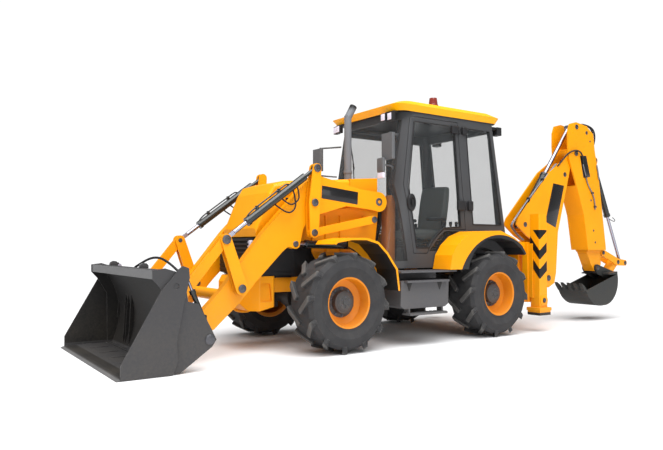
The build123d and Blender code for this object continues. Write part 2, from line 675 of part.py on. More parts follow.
with BuildPart() as tipping_links:
    for low, high in spans(LINK_IN, LINK_OUT):
        hull([(*CRANK_TOP, 46), (*SHOVEL_TOP, 46)], (low, high))
    for low, high in spans(LINK_MID - 13, LINK_MID + 13):
        hull([(*CRANK_TOP, 60), (3440, 1000, 60), (3240, 1180, 60)], (low, high),
             mode=Mode.SUBTRACT)
    for low, high in spans(LINK_IN, LINK_OUT):
        drum(CRANK_TOP, SMALL_PIN_R + RUNNING, (low - 1, high + 1), mode=Mode.SUBTRACT)

LUG_PLANES = ((ARM_IN - SIDE_GAP - 18, ARM_IN - SIDE_GAP), (ARM_OUT + SIDE_GAP, LINK_IN - 4),
              (LINK_OUT + 4, LINK_OUT + 22))
with BuildPart() as shovel_pins:
    for low, high in spans(LUG_PLANES[0][0] - 6, LUG_PLANES[2][1] + 6):
        drum(SHOVEL_PIN, BIG_PIN_R, (low, high))

with BuildPart() as lift_barrels:
    for y in (ARM_MID, -ARM_MID):
        barrel(LIFT_BASE, LIFT_EYE, y, LIFT_TUBE_R, LIFT_ROD_R, 66, 850, 24, SMALL_PIN_R)

with BuildPart() as lift_rods:
    for y in (ARM_MID, -ARM_MID):
        rod(LIFT_BASE, LIFT_EYE, y, LIFT_ROD_R, 110, 40, 22)

with BuildPart() as tilt_barrels:
    for y in (LINK_MID, -LINK_MID):
        barrel(LEVER_TOP, CRANK_TOP, y, TILT_TUBE_R, TILT_ROD_R, 160, 975, 21, SMALL_PIN_R)

with BuildPart() as tilt_rods:
    for y in (LINK_MID, -LINK_MID):
        rod(LEVER_TOP, CRANK_TOP, y, TILT_ROD_R, 330, 30, 8)
        for low, high in ((y + 9, y + 60), (y - 60, y - 9)):
            drum(CRANK_TOP, 118, (low, high), mode=Mode.SUBTRACT)

# ================================================================ shovel
with BuildPart() as shovel_back:
    with BuildSketch(Plane.XZ.offset(-1008)) as mouldboard:
        with BuildLine():
            ThreePointArc((4060, 868), (3862, 470), (3930, 22))
            Line((3930, 22), (3946, 22))
            ThreePointArc((3946, 22), (3880, 470), (4068, 850))
            Line((4068, 850), (4060, 868))
        make_face()
    extrude(mouldboard.sketch, amount=2016)
    slab([(3926, 8), (3984, 8), (3984, 30), (3926, 30)], (-1008, 1008))
    slab([(4045, 845), (4060, 872), (4160, 872), (4160, 795), (4145, 795), (4140, 850)],
         (-1008, 1008))
    for low, high in spans(992, 1008):
        slab([(4166, 872), (4165, 794), (4100, 722), (4000, 560), (3990, 20), (3926, 8),
              (3640, 205), (3602, 263), (3650, 360), (3766, 577), (3860, 600), (3878, 700),
              (3890, 790), (3950, 850), (4060, 884)], (low, high), corner=6)
    for low, high in spans(JAW_CYLINDER_Y - 34, JAW_CYLINDER_Y - 22):
        slab([(3665, 380), (3665, 470), (3720, 490), (3890, 480), (3905, 300)], (low, high))
    for low, high in spans(JAW_CYLINDER_Y - 26, 1000):
        drum(JAW_BASE, 14, (low, high))
    for plate in LUG_PLANES:
        for low, high in spans(*plate):
            slab([(3900, 660), (3830, 640), (3744, 600), (3710, 420), (3670, 290), (3680, 220),
                  (3740, 190), (3930, 60)], (low, high))
            drum(SHOVEL_PIN, BIG_PIN_R + RUNNING, (low - 1, high + 1), mode=Mode.SUBTRACT)
    for low, high in spans(LUG_PLANES[2][0], LUG_PLANES[2][1] + 8):
        drum(SHOVEL_TOP, 34, (low, high))
    for low, high in spans(985, SHOVEL_HALF - 6):
        drum(JAW_PIVOT, 26, (low, high))

with BuildPart() as shovel_clam:
    for low, high in spans(SHOVEL_HALF - SHOVEL_WALL, SHOVEL_HALF):
        slab([(4424, 20), (4425, 121), (4095, 709), (3999, 816), (3955, 873), (3915, 902),
              (3864, 884), (3856, 800), (3898, 616), (3951, 344), (3967, 251), (3950, 123),
              (3995, 6), (4424, 6)], (low, high), corner=5)
        drum(JAW_PIVOT, 26 + RUNNING, (low - 1, high + 1), mode=Mode.SUBTRACT)
    slab([(3994, 4), (3994, 24), (4400, 24), (LIP_X, 6), (LIP_X, 0), (4020, 0)],
         (-SHOVEL_HALF, SHOVEL_HALF))
    for low, high in spans(JAW_CYLINDER_Y + 19, SHOVEL_HALF - SHOVEL_WALL):
        drum(JAW_EAR, 20, (low, high))

with BuildPart() as clam_barrels:
    for y in (JAW_CYLINDER_Y, -JAW_CYLINDER_Y):
        barrel(JAW_BASE, JAW_EAR, y, JAW_TUBE_R - 4, JAW_ROD_R, 40, 285, 17, 14)

with BuildPart() as clam_rods:
    for y in (JAW_CYLINDER_Y, -JAW_CYLINDER_Y):
        rod(JAW_BASE, JAW_EAR, y, JAW_ROD_R - 2, 210, 26, 15)

# ================================================================ backhoe
with BuildPart() as carriage:
    block((-790, -708), hoe_span(235), (340, 1130))
    block((-720, -606), hoe_span(220), (1126, 1142))
    block((-720, -606), hoe_span(220), (338, 354))
    for low, high in ((335, 396), (906, 962)):
        with BuildSketch(Plane.XY.offset(low)) as lug_plan:
            for x, y, radius in ((SWING_X, HOE_Y, 74), (-790, HOE_Y + 130, 30),
                                 (-790, HOE_Y - 130, 30)):
                with Locations((x, y)):
                    Circle(radius)
            make_hull()
        extrude(lug_plan.sketch, amount=high - low)
    with Locations((SWING_X, HOE_Y, 650)):
        Cylinder(35, 640)

with BuildPart() as kingpost:
    with Locations((SWING_X, HOE_Y, 651)):
        Cylinder(70, 498)
    hull([(-1240, 470, 40), (*BOOM_PIVOT, 78), (-1250, 850, 45)], hoe_span(84))
    with Locations((SWING_X, HOE_Y, 651)):
        Cylinder(35 + RUNNING, 520, mode=Mode.SUBTRACT)
    for low, high in hoe_spans(42, 84):
        hull([(-1362, 800, 40), (-1362, 900, 40), (*BOOM_BASE, 50)], (low, high))
    drum(BOOM_BASE, HOE_PIN_R - 4, hoe_span(84))
    drum(BOOM_PIVOT, HOE_PIN_R, hoe_span(BOOM_OUT + 8))

BOOM_OUTLINE = [(-1539, 2093), (-880, 1440), (-835, 1350), (-1029, 1210), (-1270, 1090),
                (-1310, 960), (-1350, 640), (-1480, 500), (-1610, 560), (-1650, 700),
                (-1701, 1262), (-1935, 1985), (-2000, 2200), (-2165, 2360), (-2080, 2470),
                (-1943, 2343)]
with BuildPart() as boom:
    for low, high in hoe_spans(BOOM_OUT - BOOM_PLATE, BOOM_OUT):
        slab(BOOM_OUTLINE, (low, high), corner=12)
        drum(DIPPER_PIVOT, 84, (low, high))
        drum(BOOM_PIVOT, HOE_PIN_R + RUNNING, (low - 1, high + 1), mode=Mode.SUBTRACT)
    inner = hoe_span(BOOM_OUT - BOOM_PLATE)
    web = [beside(DIPPER_BASE, DIPPER_EYE, distance, offset)
           for distance, offset in ((-40, 85), (1160, 85), (1160, 101), (-40, 101))]
    slab(web, inner)
    slab([(-1676, 1000), (-1701, 1262), (-1904, 1890), (-1888, 1895), (-1685, 1264),
          (-1660, 1000)], inner)
    drum(DIPPER_PIVOT, 84, inner)
    drum(DIPPER_BASE, HOE_PIN_R - 4, hoe_span(BOOM_OUT))
    drum(DIPPER_PIVOT, HOE_PIN_R, hoe_span(DIPPER_OUT + 8))

with BuildPart() as boom_barrel:
    barrel(BOOM_BASE, BOOM_EYE, HOE_Y, HOE_TUBE_R, HOE_ROD_R, 115, 900, 38, HOE_PIN_R - 4)
with BuildPart() as boom_rod:
    rod(BOOM_BASE, BOOM_EYE, HOE_Y, HOE_ROD_R, 140, 46, 38)
with BuildPart() as dipper_barrel:
    barrel(DIPPER_BASE, DIPPER_EYE, HOE_Y, HOE_TUBE_R, HOE_ROD_R, 62, 900, 38, HOE_PIN_R - 4)
with BuildPart() as dipper_rod:
    rod(DIPPER_BASE, DIPPER_EYE, HOE_Y, HOE_ROD_R, 770, 46, 38)

DIPPER_OUTLINE = [(-2105, 2838), (-1960, 2800), (-1915, 2690), (-1911, 2500), (-1924, 2319),
                  (-2066, 2002), (-2257, 1516), (-2349, 1011), (-2789, 1009), (-2633, 2034),
                  (-2570, 2330), (-2537, 2472), (-2507, 2701), (-2353, 2802)]
with BuildPart() as dipper:
    for low, high in hoe_spans(DIPPER_OUT - DIPPER_PLATE, DIPPER_OUT):
        slab(DIPPER_OUTLINE, (low, high), corner=10)
        drum(DIPPER_PIVOT, HOE_PIN_R + RUNNING, (low - 1, high + 1), mode=Mode.SUBTRACT)
    inner = hoe_span(DIPPER_OUT - DIPPER_PLATE)
    slab([(-2095, 1930), (-2257, 1516), (-2349, 1011), (-2367, 1011), (-2275, 1520),
          (-2113, 1934)], inner)
    slab([(-2780, 1065), (-2633, 2034), (-2570, 2330), (-2537, 2472), (-2507, 2701),
          (-2493, 2697), (-2521, 2474), (-2553, 2332), (-2616, 2036), (-2763, 1065)], inner)

RAIL_TOP = along_slide(TIP_PIVOT, -1380)
with BuildPart() as extension:
    low_front, low_rear = (-2400, 985), (-2728, 985)
    slab([low_front, low_rear, along_slide(low_rear, -980), along_slide(low_front, -980)],
         hoe_span(100))
    slab([along_slide(low_front, 10), along_slide(low_rear, 10), (-2745, 800), (-2660, 700),
          (-2570, 700), (-2500, 800)], hoe_span(80), corner=12)
    slab([along_slide(low_front, -5), along_slide(low_rear, -5), along_slide(low_rear, 25),
          along_slide(low_front, 25)], hoe_span(80))
    slab([(-2725, 1000), (-2725, 920), (-2800, 918), (-2845, 960), (-2832, 1015),
          (-2800, 1015)], hoe_span(58))
    rail_low, rail_high = (-2796, 1010), along_slide((-2796, 1010), -1400)
    slab([rail_low, (-2828, 1010), along_slide((-2828, 1010), -1400), rail_high], hoe_span(58))
    for low, high in hoe_spans(42, 62):
        hull([(*CROWD_BASE, 48), (-2618, 2300, 22), (-2644, 2180, 18)], (low, high))
    drum(CROWD_BASE, HOE_PIN_R - 6, hoe_span(62))
    drum(TIP_PIVOT, HOE_PIN_R - 4, hoe_span(94))
    drum(BUCKET_PIVOT, HOE_PIN_R - 2, hoe_span(116))

with BuildPart() as crowd_barrel:
    barrel(CROWD_BASE, CROWD_EYE, HOE_Y, CROWD_TUBE_R, CROWD_ROD_R, 62, 900, 38, HOE_PIN_R - 6)
with BuildPart() as crowd_rod:
    rod(CROWD_BASE, CROWD_EYE, HOE_Y, CROWD_ROD_R, 560, 40, 38)

with BuildPart() as tipping_lever:
    for low, high in hoe_spans(66, 88):
        hull([(*TIP_PIVOT, 48), (*TIP_LINK, 52)], (low, high))
        hull([(*TIP_LINK, 52), (*CROWD_EYE, 44)], (low, high))
        drum(TIP_PIVOT, HOE_PIN_R - 4 + RUNNING, (low - 1, high + 1), mode=Mode.SUBTRACT)
    drum(TIP_LINK, HOE_PIN_R - 4, hoe_span(88))

with BuildPart() as hoe_link:
    hull([(*TIP_LINK, 46), (*BUCKET_LINK, 44)], hoe_span(60))
    drum(TIP_LINK, HOE_PIN_R - 4 + RUNNING, hoe_span(61), mode=Mode.SUBTRACT)

with BuildPart() as hoe_bucket:
    with BuildSketch(Plane.XZ.offset(-(HOE_Y + BUCKET_HALF))) as wrapper:
        with BuildLine():
            ThreePointArc((-2155, 436), (-2300, 270), (-2562, 213))
            ThreePointArc((-2562, 213), (-2850, 330), (-2927, 655))
            Line((-2927, 655), (-2911, 655))
            ThreePointArc((-2911, 655), (-2838, 343), (-2562, 229))
            ThreePointArc((-2562, 229), (-2306, 285), (-2168, 446))
            Line((-2168, 446), (-2155, 436))
        make_face()
    extrude(wrapper.sketch, amount=2 * BUCKET_HALF)
    for low, high in hoe_spans(BUCKET_HALF - 14, BUCKET_HALF):
        with BuildSketch(Plane.XZ.offset(-high)) as cheek:
            with BuildLine():
                ThreePointArc((-2155, 436), (-2300, 270), (-2562, 213))
                ThreePointArc((-2562, 213), (-2850, 330), (-2927, 655))
                Line((-2927, 655), (-2155, 436))
            make_face()
        extrude(cheek.sketch, amount=14)
    slab([(-2927, 655), (-2927, 692), (-2720, 668), (-2720, 650), (-2900, 652), (-2916, 630)],
         hoe_span(BUCKET_HALF))
    for low, high in hoe_spans(88, 110):
        hull([(*BUCKET_PIVOT, 52), (-2640, 690, 40), (-2860, 620, 40), (*BUCKET_LINK, 44)],
             (low, high))
        drum(BUCKET_PIVOT, HOE_PIN_R - 2 + RUNNING, (low - 1, high + 1), mode=Mode.SUBTRACT)
    for index in range(5):
        y = HOE_Y + (index - 2) * (2 * BUCKET_HALF - 60) / 4
        slab([(-2180, 452), (-2130, 505), (-2060, 545), (-2080, 500), (-2140, 425)],
             (y - 24, y + 24))

# ================================================================ hand-in
pieces.update(
    axle_housings=axle_housings, chassis_frame=chassis_frame, front_nose=front_nose,
    radiator_housing=radiator_housing, engine_block=engine_block, bonnet=bonnet,
    fenders=fenders, side_boxes=side_boxes, cab_frame=cab_frame, cab_glass=cab_glass,
    cab_roof=cab_roof, cab_interior=cab_interior, exhaust_stack=exhaust_stack,
    mirrors_and_lamps=mirrors_and_lamps, rear_frame=rear_frame, tie_down_eyes=tie_down_eyes,
    loader_arms=loader_arms, levers=levers, parallel_links=parallel_links,
    crank_pins=crank_pins, bell_cranks=bell_cranks, link_pins=link_pins,
    tipping_links=tipping_links, shovel_pins=shovel_pins, lift_barrels=lift_barrels,
    lift_rods=lift_rods, tilt_barrels=tilt_barrels, tilt_rods=tilt_rods,
    shovel_back=shovel_back, shovel_clam=shovel_clam, clam_barrels=clam_barrels,
    clam_rods=clam_rods, carriage=carriage, kingpost=kingpost, boom=boom,
    boom_barrel=boom_barrel, boom_rod=boom_rod, dipper=dipper, dipper_barrel=dipper_barrel,
    dipper_rod=dipper_rod, extension=extension, crowd_barrel=crowd_barrel,
    crowd_rod=crowd_rod, tipping_lever=tipping_lever, hoe_link=hoe_link,
    hoe_bucket=hoe_bucket)

boxes = [piece.part.bounding_box() for piece in pieces.values()]
SHIFT_X = -(min(box.min.X for box in boxes) + max(box.max.X for box in boxes)) / 2
SHIFT_Z = -min(box.min.Z for box in boxes)

os.makedirs("parts", exist_ok=True)
for name, piece in pieces.items():
    piece.part.label = name
    piece.part.move(Location((SHIFT_X, 0, SHIFT_Z)))
    export_step(piece.part, f"parts/{name}.step")
print("moved by", round(SHIFT_X, 3), round(SHIFT_Z, 3))
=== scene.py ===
"""Backhoe loader: finishes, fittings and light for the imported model."""
import json
import math
import bpy
from mathutils import Euler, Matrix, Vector

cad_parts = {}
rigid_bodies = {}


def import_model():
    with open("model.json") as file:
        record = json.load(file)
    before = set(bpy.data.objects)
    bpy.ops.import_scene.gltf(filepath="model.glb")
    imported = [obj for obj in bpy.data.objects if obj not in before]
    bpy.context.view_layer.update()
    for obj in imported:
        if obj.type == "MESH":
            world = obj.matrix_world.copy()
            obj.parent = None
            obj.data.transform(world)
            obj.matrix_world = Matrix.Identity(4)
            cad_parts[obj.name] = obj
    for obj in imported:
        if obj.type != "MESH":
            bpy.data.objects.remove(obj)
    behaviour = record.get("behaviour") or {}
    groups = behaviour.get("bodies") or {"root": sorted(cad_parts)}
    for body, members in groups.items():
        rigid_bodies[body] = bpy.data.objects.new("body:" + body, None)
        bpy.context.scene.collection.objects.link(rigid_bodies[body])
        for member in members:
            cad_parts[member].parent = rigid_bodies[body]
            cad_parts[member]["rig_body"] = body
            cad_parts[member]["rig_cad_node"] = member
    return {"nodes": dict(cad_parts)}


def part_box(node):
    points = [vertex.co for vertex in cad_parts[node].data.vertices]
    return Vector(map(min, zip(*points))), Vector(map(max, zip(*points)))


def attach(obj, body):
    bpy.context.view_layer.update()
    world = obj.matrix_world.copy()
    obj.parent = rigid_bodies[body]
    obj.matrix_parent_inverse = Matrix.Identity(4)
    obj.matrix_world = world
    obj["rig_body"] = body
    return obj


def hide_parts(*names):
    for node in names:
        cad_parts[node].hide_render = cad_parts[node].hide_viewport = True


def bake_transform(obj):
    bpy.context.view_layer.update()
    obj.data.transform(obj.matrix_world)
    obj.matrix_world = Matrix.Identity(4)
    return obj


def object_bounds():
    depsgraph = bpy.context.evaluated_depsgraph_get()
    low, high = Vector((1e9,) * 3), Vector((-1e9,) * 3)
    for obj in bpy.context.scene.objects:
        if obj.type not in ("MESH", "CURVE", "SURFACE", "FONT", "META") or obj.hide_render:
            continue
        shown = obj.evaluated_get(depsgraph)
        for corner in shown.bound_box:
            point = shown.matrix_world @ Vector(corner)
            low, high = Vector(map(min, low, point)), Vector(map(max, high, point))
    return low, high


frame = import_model()
cad_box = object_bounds()
nodes = frame["nodes"]


def middle(node):
    """The centre of a node's box."""
    low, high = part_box(node)
    return Vector(low).lerp(Vector(high), 0.5)


REAR_AXLE = middle("tyre_rear_left")
FRONT_AXLE = middle("tyre_front_left")
WHEEL_Y = REAR_AXLE.y
TYRE_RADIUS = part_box("tyre_rear_left")[1][2] - REAR_AXLE.z
SIDES = (1, -1)
SIDE_NAMES = ((1, "left"), (-1, "right"))
HOE = round(middle("hoe_bucket").y * 1000)
WELD, FINE_WELD = 0.00005, 0.00001
SMOOTH_ANGLE = 35


def at(station, y, height):
    """A point in millimetres: ahead of the rear axle, left of the middle, above the ground."""
    return Vector((REAR_AXLE.x + station / 1000, y / 1000, height / 1000))


def at_pin(pin, y):
    """A point on the axis of a cross pin, which is given by its station and height."""
    return at(pin[0], y, pin[1])


# ------------------------------------------------------------ modelling
def clear():
    """Leaves edit mode and selects nothing."""
    if bpy.context.object and bpy.context.object.mode != "OBJECT":
        bpy.ops.object.mode_set(mode="OBJECT")
    bpy.ops.object.select_all(action="DESELECT")


def pick(*pieces):
    """Selects these pieces alone and makes the first one active."""
    clear()
    for piece in pieces:
        piece.select_set(True)
    bpy.context.view_layer.objects.active = pieces[0]


def settle(piece):
    """Puts the place, turn and size of a piece into its mesh."""
    pick(piece)
    bpy.ops.object.transform_apply(location=True, rotation=True, scale=True)
    return piece


def outward(piece):
    """Merges doubled points and turns every face outward."""
    pick(piece)
    bpy.ops.object.mode_set(mode="EDIT")
    bpy.ops.mesh.select_all(action="SELECT")
    bpy.ops.mesh.remove_doubles(threshold=WELD)
    bpy.ops.mesh.normals_make_consistent(inside=False)
    bpy.ops.object.mode_set(mode="OBJECT")
    return piece


def soften(piece, width, steps=2, angle=30):
    """Rounds the edges of a piece."""
    pick(piece)
    bpy.ops.object.modifier_add(type="BEVEL")
    bevel = piece.modifiers[-1]
    bevel.width = width
    bevel.segments = steps
    bevel.limit_method = "ANGLE"
    bevel.angle_limit = math.radians(angle)
    bpy.ops.object.modifier_apply(modifier=bevel.name)
    return piece


def bar(low, high, round_off=0.003, steps=2):
    """A box with rounded edges between two corners."""
    clear()
    bpy.ops.mesh.primitive_cube_add(size=1, location=(low + high) / 2, scale=high - low)
    return soften(settle(bpy.context.object), round_off, steps)


def block(stations, sides, heights, round_off=0.003, steps=2):
    """The same box in millimetres, between pairs of stations, distances aside and heights."""
    near, far = sorted(sides)
    return bar(at(stations[0], near, heights[0]), at(stations[1], far, heights[1]), round_off,
               steps)


def cut_plate(outline, y_low, y_high, round_off=0.002, steps=2):
    """A plate cut to an outline of stations and heights, between two distances from the middle."""
    clear()
    bpy.ops.mesh.primitive_circle_add(vertices=len(outline), radius=1, fill_type="NGON")
    piece = bpy.context.object
    for vertex, (station, height) in zip(piece.data.vertices, outline):
        vertex.co = at(station, y_low, height)
    bpy.ops.object.mode_set(mode="EDIT")
    bpy.ops.mesh.select_all(action="SELECT")
    bpy.ops.mesh.extrude_region_move(
        TRANSFORM_OT_translate={"value": (0, (y_high - y_low) / 1000, 0)})
    bpy.ops.object.mode_set(mode="OBJECT")
    return soften(outward(piece), round_off, steps)


def turned(profile, place, axis, steps=32, flip=False):
    """A lathe part: profile is pairs of distance along the axis and radius, as a closed outline."""
    clear()
    bpy.ops.mesh.primitive_circle_add(vertices=len(profile), radius=1, fill_type="NOTHING")
    piece = bpy.context.object
    place = Vector(place)
    for vertex, (along, radius) in zip(piece.data.vertices, profile):
        along = -along if flip else along
        vertex.co = place + {"X": Vector((along, 0, radius)), "Y": Vector((0, along, radius)),
                             "Z": Vector((radius, 0, along))}[axis]
    direction = {"X": (1, 0, 0), "Y": (0, 1, 0), "Z": (0, 0, 1)}[axis]
    bpy.ops.object.mode_set(mode="EDIT")
    bpy.ops.mesh.select_all(action="SELECT")
    bpy.ops.mesh.spin(steps=steps, angle=math.tau, center=place, axis=direction)
    bpy.ops.object.mode_set(mode="OBJECT")
    return outward(piece)


def round_bar(start, end, radius, sides=20, round_off=0.002):
    """A straight bar or pipe between two points."""
    clear()
    bpy.ops.mesh.primitive_cylinder_add(
        vertices=sides, radius=radius, depth=(end - start).length, location=(start + end) / 2,
        rotation=(end - start).to_track_quat("Z", "Y").to_euler())
    return soften(settle(bpy.context.object), round_off, 2, 50)


def pipe(points, radius):
    """A bent pipe or hose on one smooth line."""
    clear()
    bpy.ops.curve.primitive_nurbs_path_add()
    piece = bpy.context.object
    piece.location = (0, 0, 0)
    piece.data.splines.clear()
    spline = piece.data.splines.new("NURBS")
    spline.points.add(len(points) - 1)
    for knot, place in zip(spline.points, points):
        knot.co = (*place, 1)
    spline.order_u = 3
    spline.use_endpoint_u = True
    spline.resolution_u = 10
    piece.data.bevel_depth = radius
    piece.data.bevel_resolution = 4
    piece.data.use_fill_caps = True
    bpy.ops.object.convert(target="MESH")
    return outward(bpy.context.object)


def run(places, radius):
    """A pipe or hose through places given in millimetres."""
    return pipe([at(*place) for place in places], radius)


def copy_of(piece):
    """A copy with its own mesh."""
    pick(piece)
    bpy.ops.object.duplicate(linked=False)
    return bpy.context.object


def mirrored(piece):
    """The mirror image of a piece across the middle of the machine."""
    image = copy_of(piece)
    image.scale.y = -1
    return outward(settle(image))


def swung(piece, angle, centre):
    """A copy turned round an axis that runs across the machine."""
    copy = copy_of(piece)
    copy.rotation_euler = Euler((0, angle, 0))
    copy.location = centre - copy.rotation_euler.to_matrix() @ centre
    return settle(copy)


def joined(parts):
    """One piece made of several."""
    pick(*parts)
    if len(parts) > 1:
        bpy.ops.object.join()
    return bpy.context.object


def both_sides(piece):
    """A piece together with its mirror image."""
    return joined([piece, mirrored(piece)])


def fit(piece, name, body, finish):
    """Names a piece, gives it its finish and its slot, and mounts it on a body if one is given."""
    piece.name = name
    piece.data.name = name
    piece.data.materials.clear()
    piece.data.materials.append(finish)
    pick(piece)
    bpy.ops.object.shade_smooth_by_angle(angle=math.radians(SMOOTH_ANGLE))
    if body:
        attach(piece, body)


# ------------------------------------------------------------ finishes
class Wire:
    """A shader value that can be added, multiplied and compared."""

    def __init__(self, finish, socket):
        self.finish = finish
        self.socket = socket

    def maths(self, operation, first, second=0.0, clamp=False):
        """The result of a sum with one or two values."""
        return self.finish.node("ShaderNodeMath", {"operation": operation, "use_clamp": clamp},
                                {0: first, 1: second})

    def __add__(self, other):
        return self.maths("ADD", self, other)

    def __radd__(self, other):
        return self.maths("ADD", other, self)

    def __sub__(self, other):
        return self.maths("SUBTRACT", self, other)

    def __rsub__(self, other):
        return self.maths("SUBTRACT", other, self)

    def __mul__(self, other):
        return self.maths("MULTIPLY", self, other)

    def __truediv__(self, other):
        return self.maths("DIVIDE", self, other)

    def __gt__(self, other):
        return self.maths("GREATER_THAN", self, other)

    def __lt__(self, other):
        return self.maths("LESS_THAN", self, other)

    def __abs__(self):
        return self.maths("ABSOLUTE", self)

    def root(self):
        return self.maths("SQRT", self)

    def held(self):
        """Kept between 0 and 1."""
        return self.maths("ADD", self, 0.0, clamp=True)

    def ramp(self, low, high):
        """0 at low and 1 at high, and held between them."""
        return ((self - low) * (1 / (high - low))).held()

    def between(self, low, high):
        """1 between two values and 0 elsewhere."""
        return (self > low) * (self < high)


class Finish:
    """A material under construction."""

    def __init__(self, name, **constant):
        self.material = bpy.data.materials.new(name)
        self.material.use_nodes = True
        self.tree = self.material.node_tree
        self.tree.nodes.clear()
        output = self.tree.nodes.new("ShaderNodeOutputMaterial")
        self.shader = self.tree.nodes.new("ShaderNodeBsdfPrincipled")
        self.tree.links.new(self.shader.outputs[0], output.inputs[0])
        for socket, value in constant.items():
            self.shader.inputs[socket.replace("_", " ")].default_value = value
        self.place = self.node("ShaderNodeTexCoord", {}, {}, "Object")
        self.x, self.y, self.z = self.components(self.place)

    def node(self, kind, settings, inputs, out=0):
        """A node with its settings and inputs, as the value of one of its outputs."""
        made = self.tree.nodes.new(kind)
        for key, value in settings.items():
            setattr(made, key, value)
        for key, value in inputs.items():
            if isinstance(value, Wire):
                self.tree.links.new(value.socket, made.inputs[key])
            else:
                made.inputs[key].default_value = value
        return Wire(self, made.outputs[out])

    def components(self, vector):
        """The three parts of a vector value."""
        split = self.node("ShaderNodeSeparateXYZ", {}, {0: vector})
        return [Wire(self, output) for output in split.socket.node.outputs]

    def facing(self, axis):
        """How far the surface faces along one of the piece's own axes, from -1 to 1."""
        normal = self.node("ShaderNodeNewGeometry", {}, {}, "Normal")
        normal = self.node("ShaderNodeVectorTransform",
                           {"vector_type": "NORMAL", "convert_from": "WORLD",
                            "convert_to": "OBJECT"}, {0: normal})
        return self.components(normal)["XYZ".index(axis)]

    def noise(self, scale, detail, roughness=0.55, stretch=None):
        """Cloudy variation around 0.5 that is fixed to the piece."""
        place = self.place
        if stretch:
            place = self.node("ShaderNodeVectorMath", {"operation": "MULTIPLY"},
                              {0: place, 1: stretch})
        return self.node("ShaderNodeTexNoise", {},
                         {"Vector": place, "Scale": scale, "Detail": detail,
                          "Roughness": roughness})

    def blend(self, factor, first, second):
        """A colour that goes from the first to the second with the factor."""
        return self.node("ShaderNodeMix", {"data_type": "RGBA"}, {0: factor, 6: first, 7: second},
                         2)

    def worn_edge(self, radius=0.006):
        """1 on outer edges, from the turn between the true and the rounded surface."""
        rounded = self.node("ShaderNodeBevel", {"samples": 6}, {"Radius": radius})
        true = self.node("ShaderNodeNewGeometry", {}, {}, "Normal")
        dot = self.node("ShaderNodeVectorMath", {"operation": "DOT_PRODUCT"},
                        {0: rounded, 1: true}, "Value")
        return (1 - dot).ramp(0.02, 0.2)

    def surface(self, height, strength, distance=0.001, rounding=0.003):
        """Fine relief over edges that look rounded."""
        settings = {"Height": height, "Strength": strength, "Distance": distance}
        if rounding:
            settings["Normal"] = self.node("ShaderNodeBevel", {"samples": 6},
                                           {"Radius": rounding})
        self.give("Normal", self.node("ShaderNodeBump", {}, settings))

    def give(self, socket, wire):
        """Drives an input of the surface shader."""
        self.tree.links.new(wire.socket, self.shader.inputs[socket])


def rgb(red, green, blue):
    """A screen colour from 0 to 255 as light values."""
    return tuple(((c / 255 + 0.055) / 1.055) ** 2.4 if c > 10 else c / 3294
                 for c in (red, green, blue)) + (1.0,)


DUST = rgb(150, 138, 120)
DUST_HEIGHT = 0.95
BARE_STEEL = rgb(120, 116, 112)


def shaded(colour, factor):
    """A colour made darker or lighter by a factor."""
    return tuple(min(1, c * factor) for c in colour[:3]) + (1,)


def painted(name, colour, rough=0.34, dust=0.22, wear=0.35, coat=0.1, mask=None, second=None,
            wear_and_highlight=None, wear_and_highlight_colour=None):
    """Sprayed enamel on steel, with road dust low down, dulled patches and worn edges.

    A mask says where the second colour goes; another mask says where the load has worn the paint
    and where a painted highlight lies, both in one lighter colour.
    """
    made = Finish(name, IOR=1.48, Coat_Roughness=0.12, Specular_IOR_Level=0.22, Coat_Weight=coat)
    broad = made.noise(2.3, 5, 0.62)
    fine = made.noise(46, 4, 0.6)
    peel = made.noise(380, 2, 0.5)
    base = made.blend(broad.ramp(0.35, 0.7) * 0.5, colour, shaded(colour, 0.84))
    if mask:
        base = made.blend(mask(made), base, made.blend(broad, second, shaded(second, 0.8)))
    # lighter where the paint is worn, and where a painted highlight lies
    if wear_and_highlight:
        base = made.blend(wear_and_highlight(made) * (0.6 + fine * 0.6).held(), base, wear_and_highlight_colour)
    low = (1 - made.z / DUST_HEIGHT).held()
    dirt = (low * (broad * 0.7 + fine * 0.6).ramp(0.45, 0.85) * dust).held()
    base = made.blend(dirt, base, DUST)
    edge = made.worn_edge() * fine.ramp(0.5, 0.68) * wear
    base = made.blend(edge, base, BARE_STEEL)
    made.give("Base Color", base)
    made.give("Roughness", rough + fine * 0.1 + broad * 0.08 + dirt * 0.5)
    made.surface(peel * 0.4 + fine * 0.6, 0.06)
    return made.material


def plain(name, colour, rough, metallic, relief, scale, stretch=None, vary=0.25, coat=0.0):
    """Cast, moulded or drawn stock with its grain."""
    made = Finish(name, Metallic=metallic, Specular_IOR_Level=0.3, Coat_Weight=coat)
    grain = made.noise(scale, 3, 0.6, stretch)
    broad = made.noise(5, 4, 0.6)
    made.give("Base Color", made.blend(broad * 0.6 + grain * 0.4, shaded(colour, 1 - vary),
                                       shaded(colour, 1 + vary)))
    made.give("Roughness", rough + (grain - 0.5) * 0.2 + (broad - 0.5) * 0.12)
    made.surface(grain, relief, 0.0008, 0.002)
    return made.material


YELLOW, ORANGE = rgb(248, 160, 0), rgb(226, 134, 2)
HUB_GREY = rgb(66, 66, 68)
yellow = painted("yellow_enamel", YELLOW)
frame_black = painted("frame_enamel", rgb(40, 41, 43), rough=0.42, dust=0.18, wear=0.3, coat=0.05)
cab_grey = painted("cab_enamel", rgb(68, 69, 71), rough=0.38, dust=0.1, wear=0.2, coat=0.1)
step_grey = painted("step_enamel", rgb(84, 84, 87), rough=0.45, dust=0.2, wear=0.6, coat=0.1)
cylinder_black = plain("cylinder_lacquer", rgb(34, 38, 37), 0.26, 0.0, 0.03, 260, coat=0.5)
chrome = plain("ground_chrome", rgb(168, 168, 182), 0.2, 1.0, 0.02, 300, vary=0.06)
pin_steel = plain("pin_steel", rgb(92, 92, 96), 0.38, 0.85, 0.12, 150)
pipe_steel = plain("zinc_pipe", rgb(128, 129, 136), 0.34, 0.8, 0.05, 200)
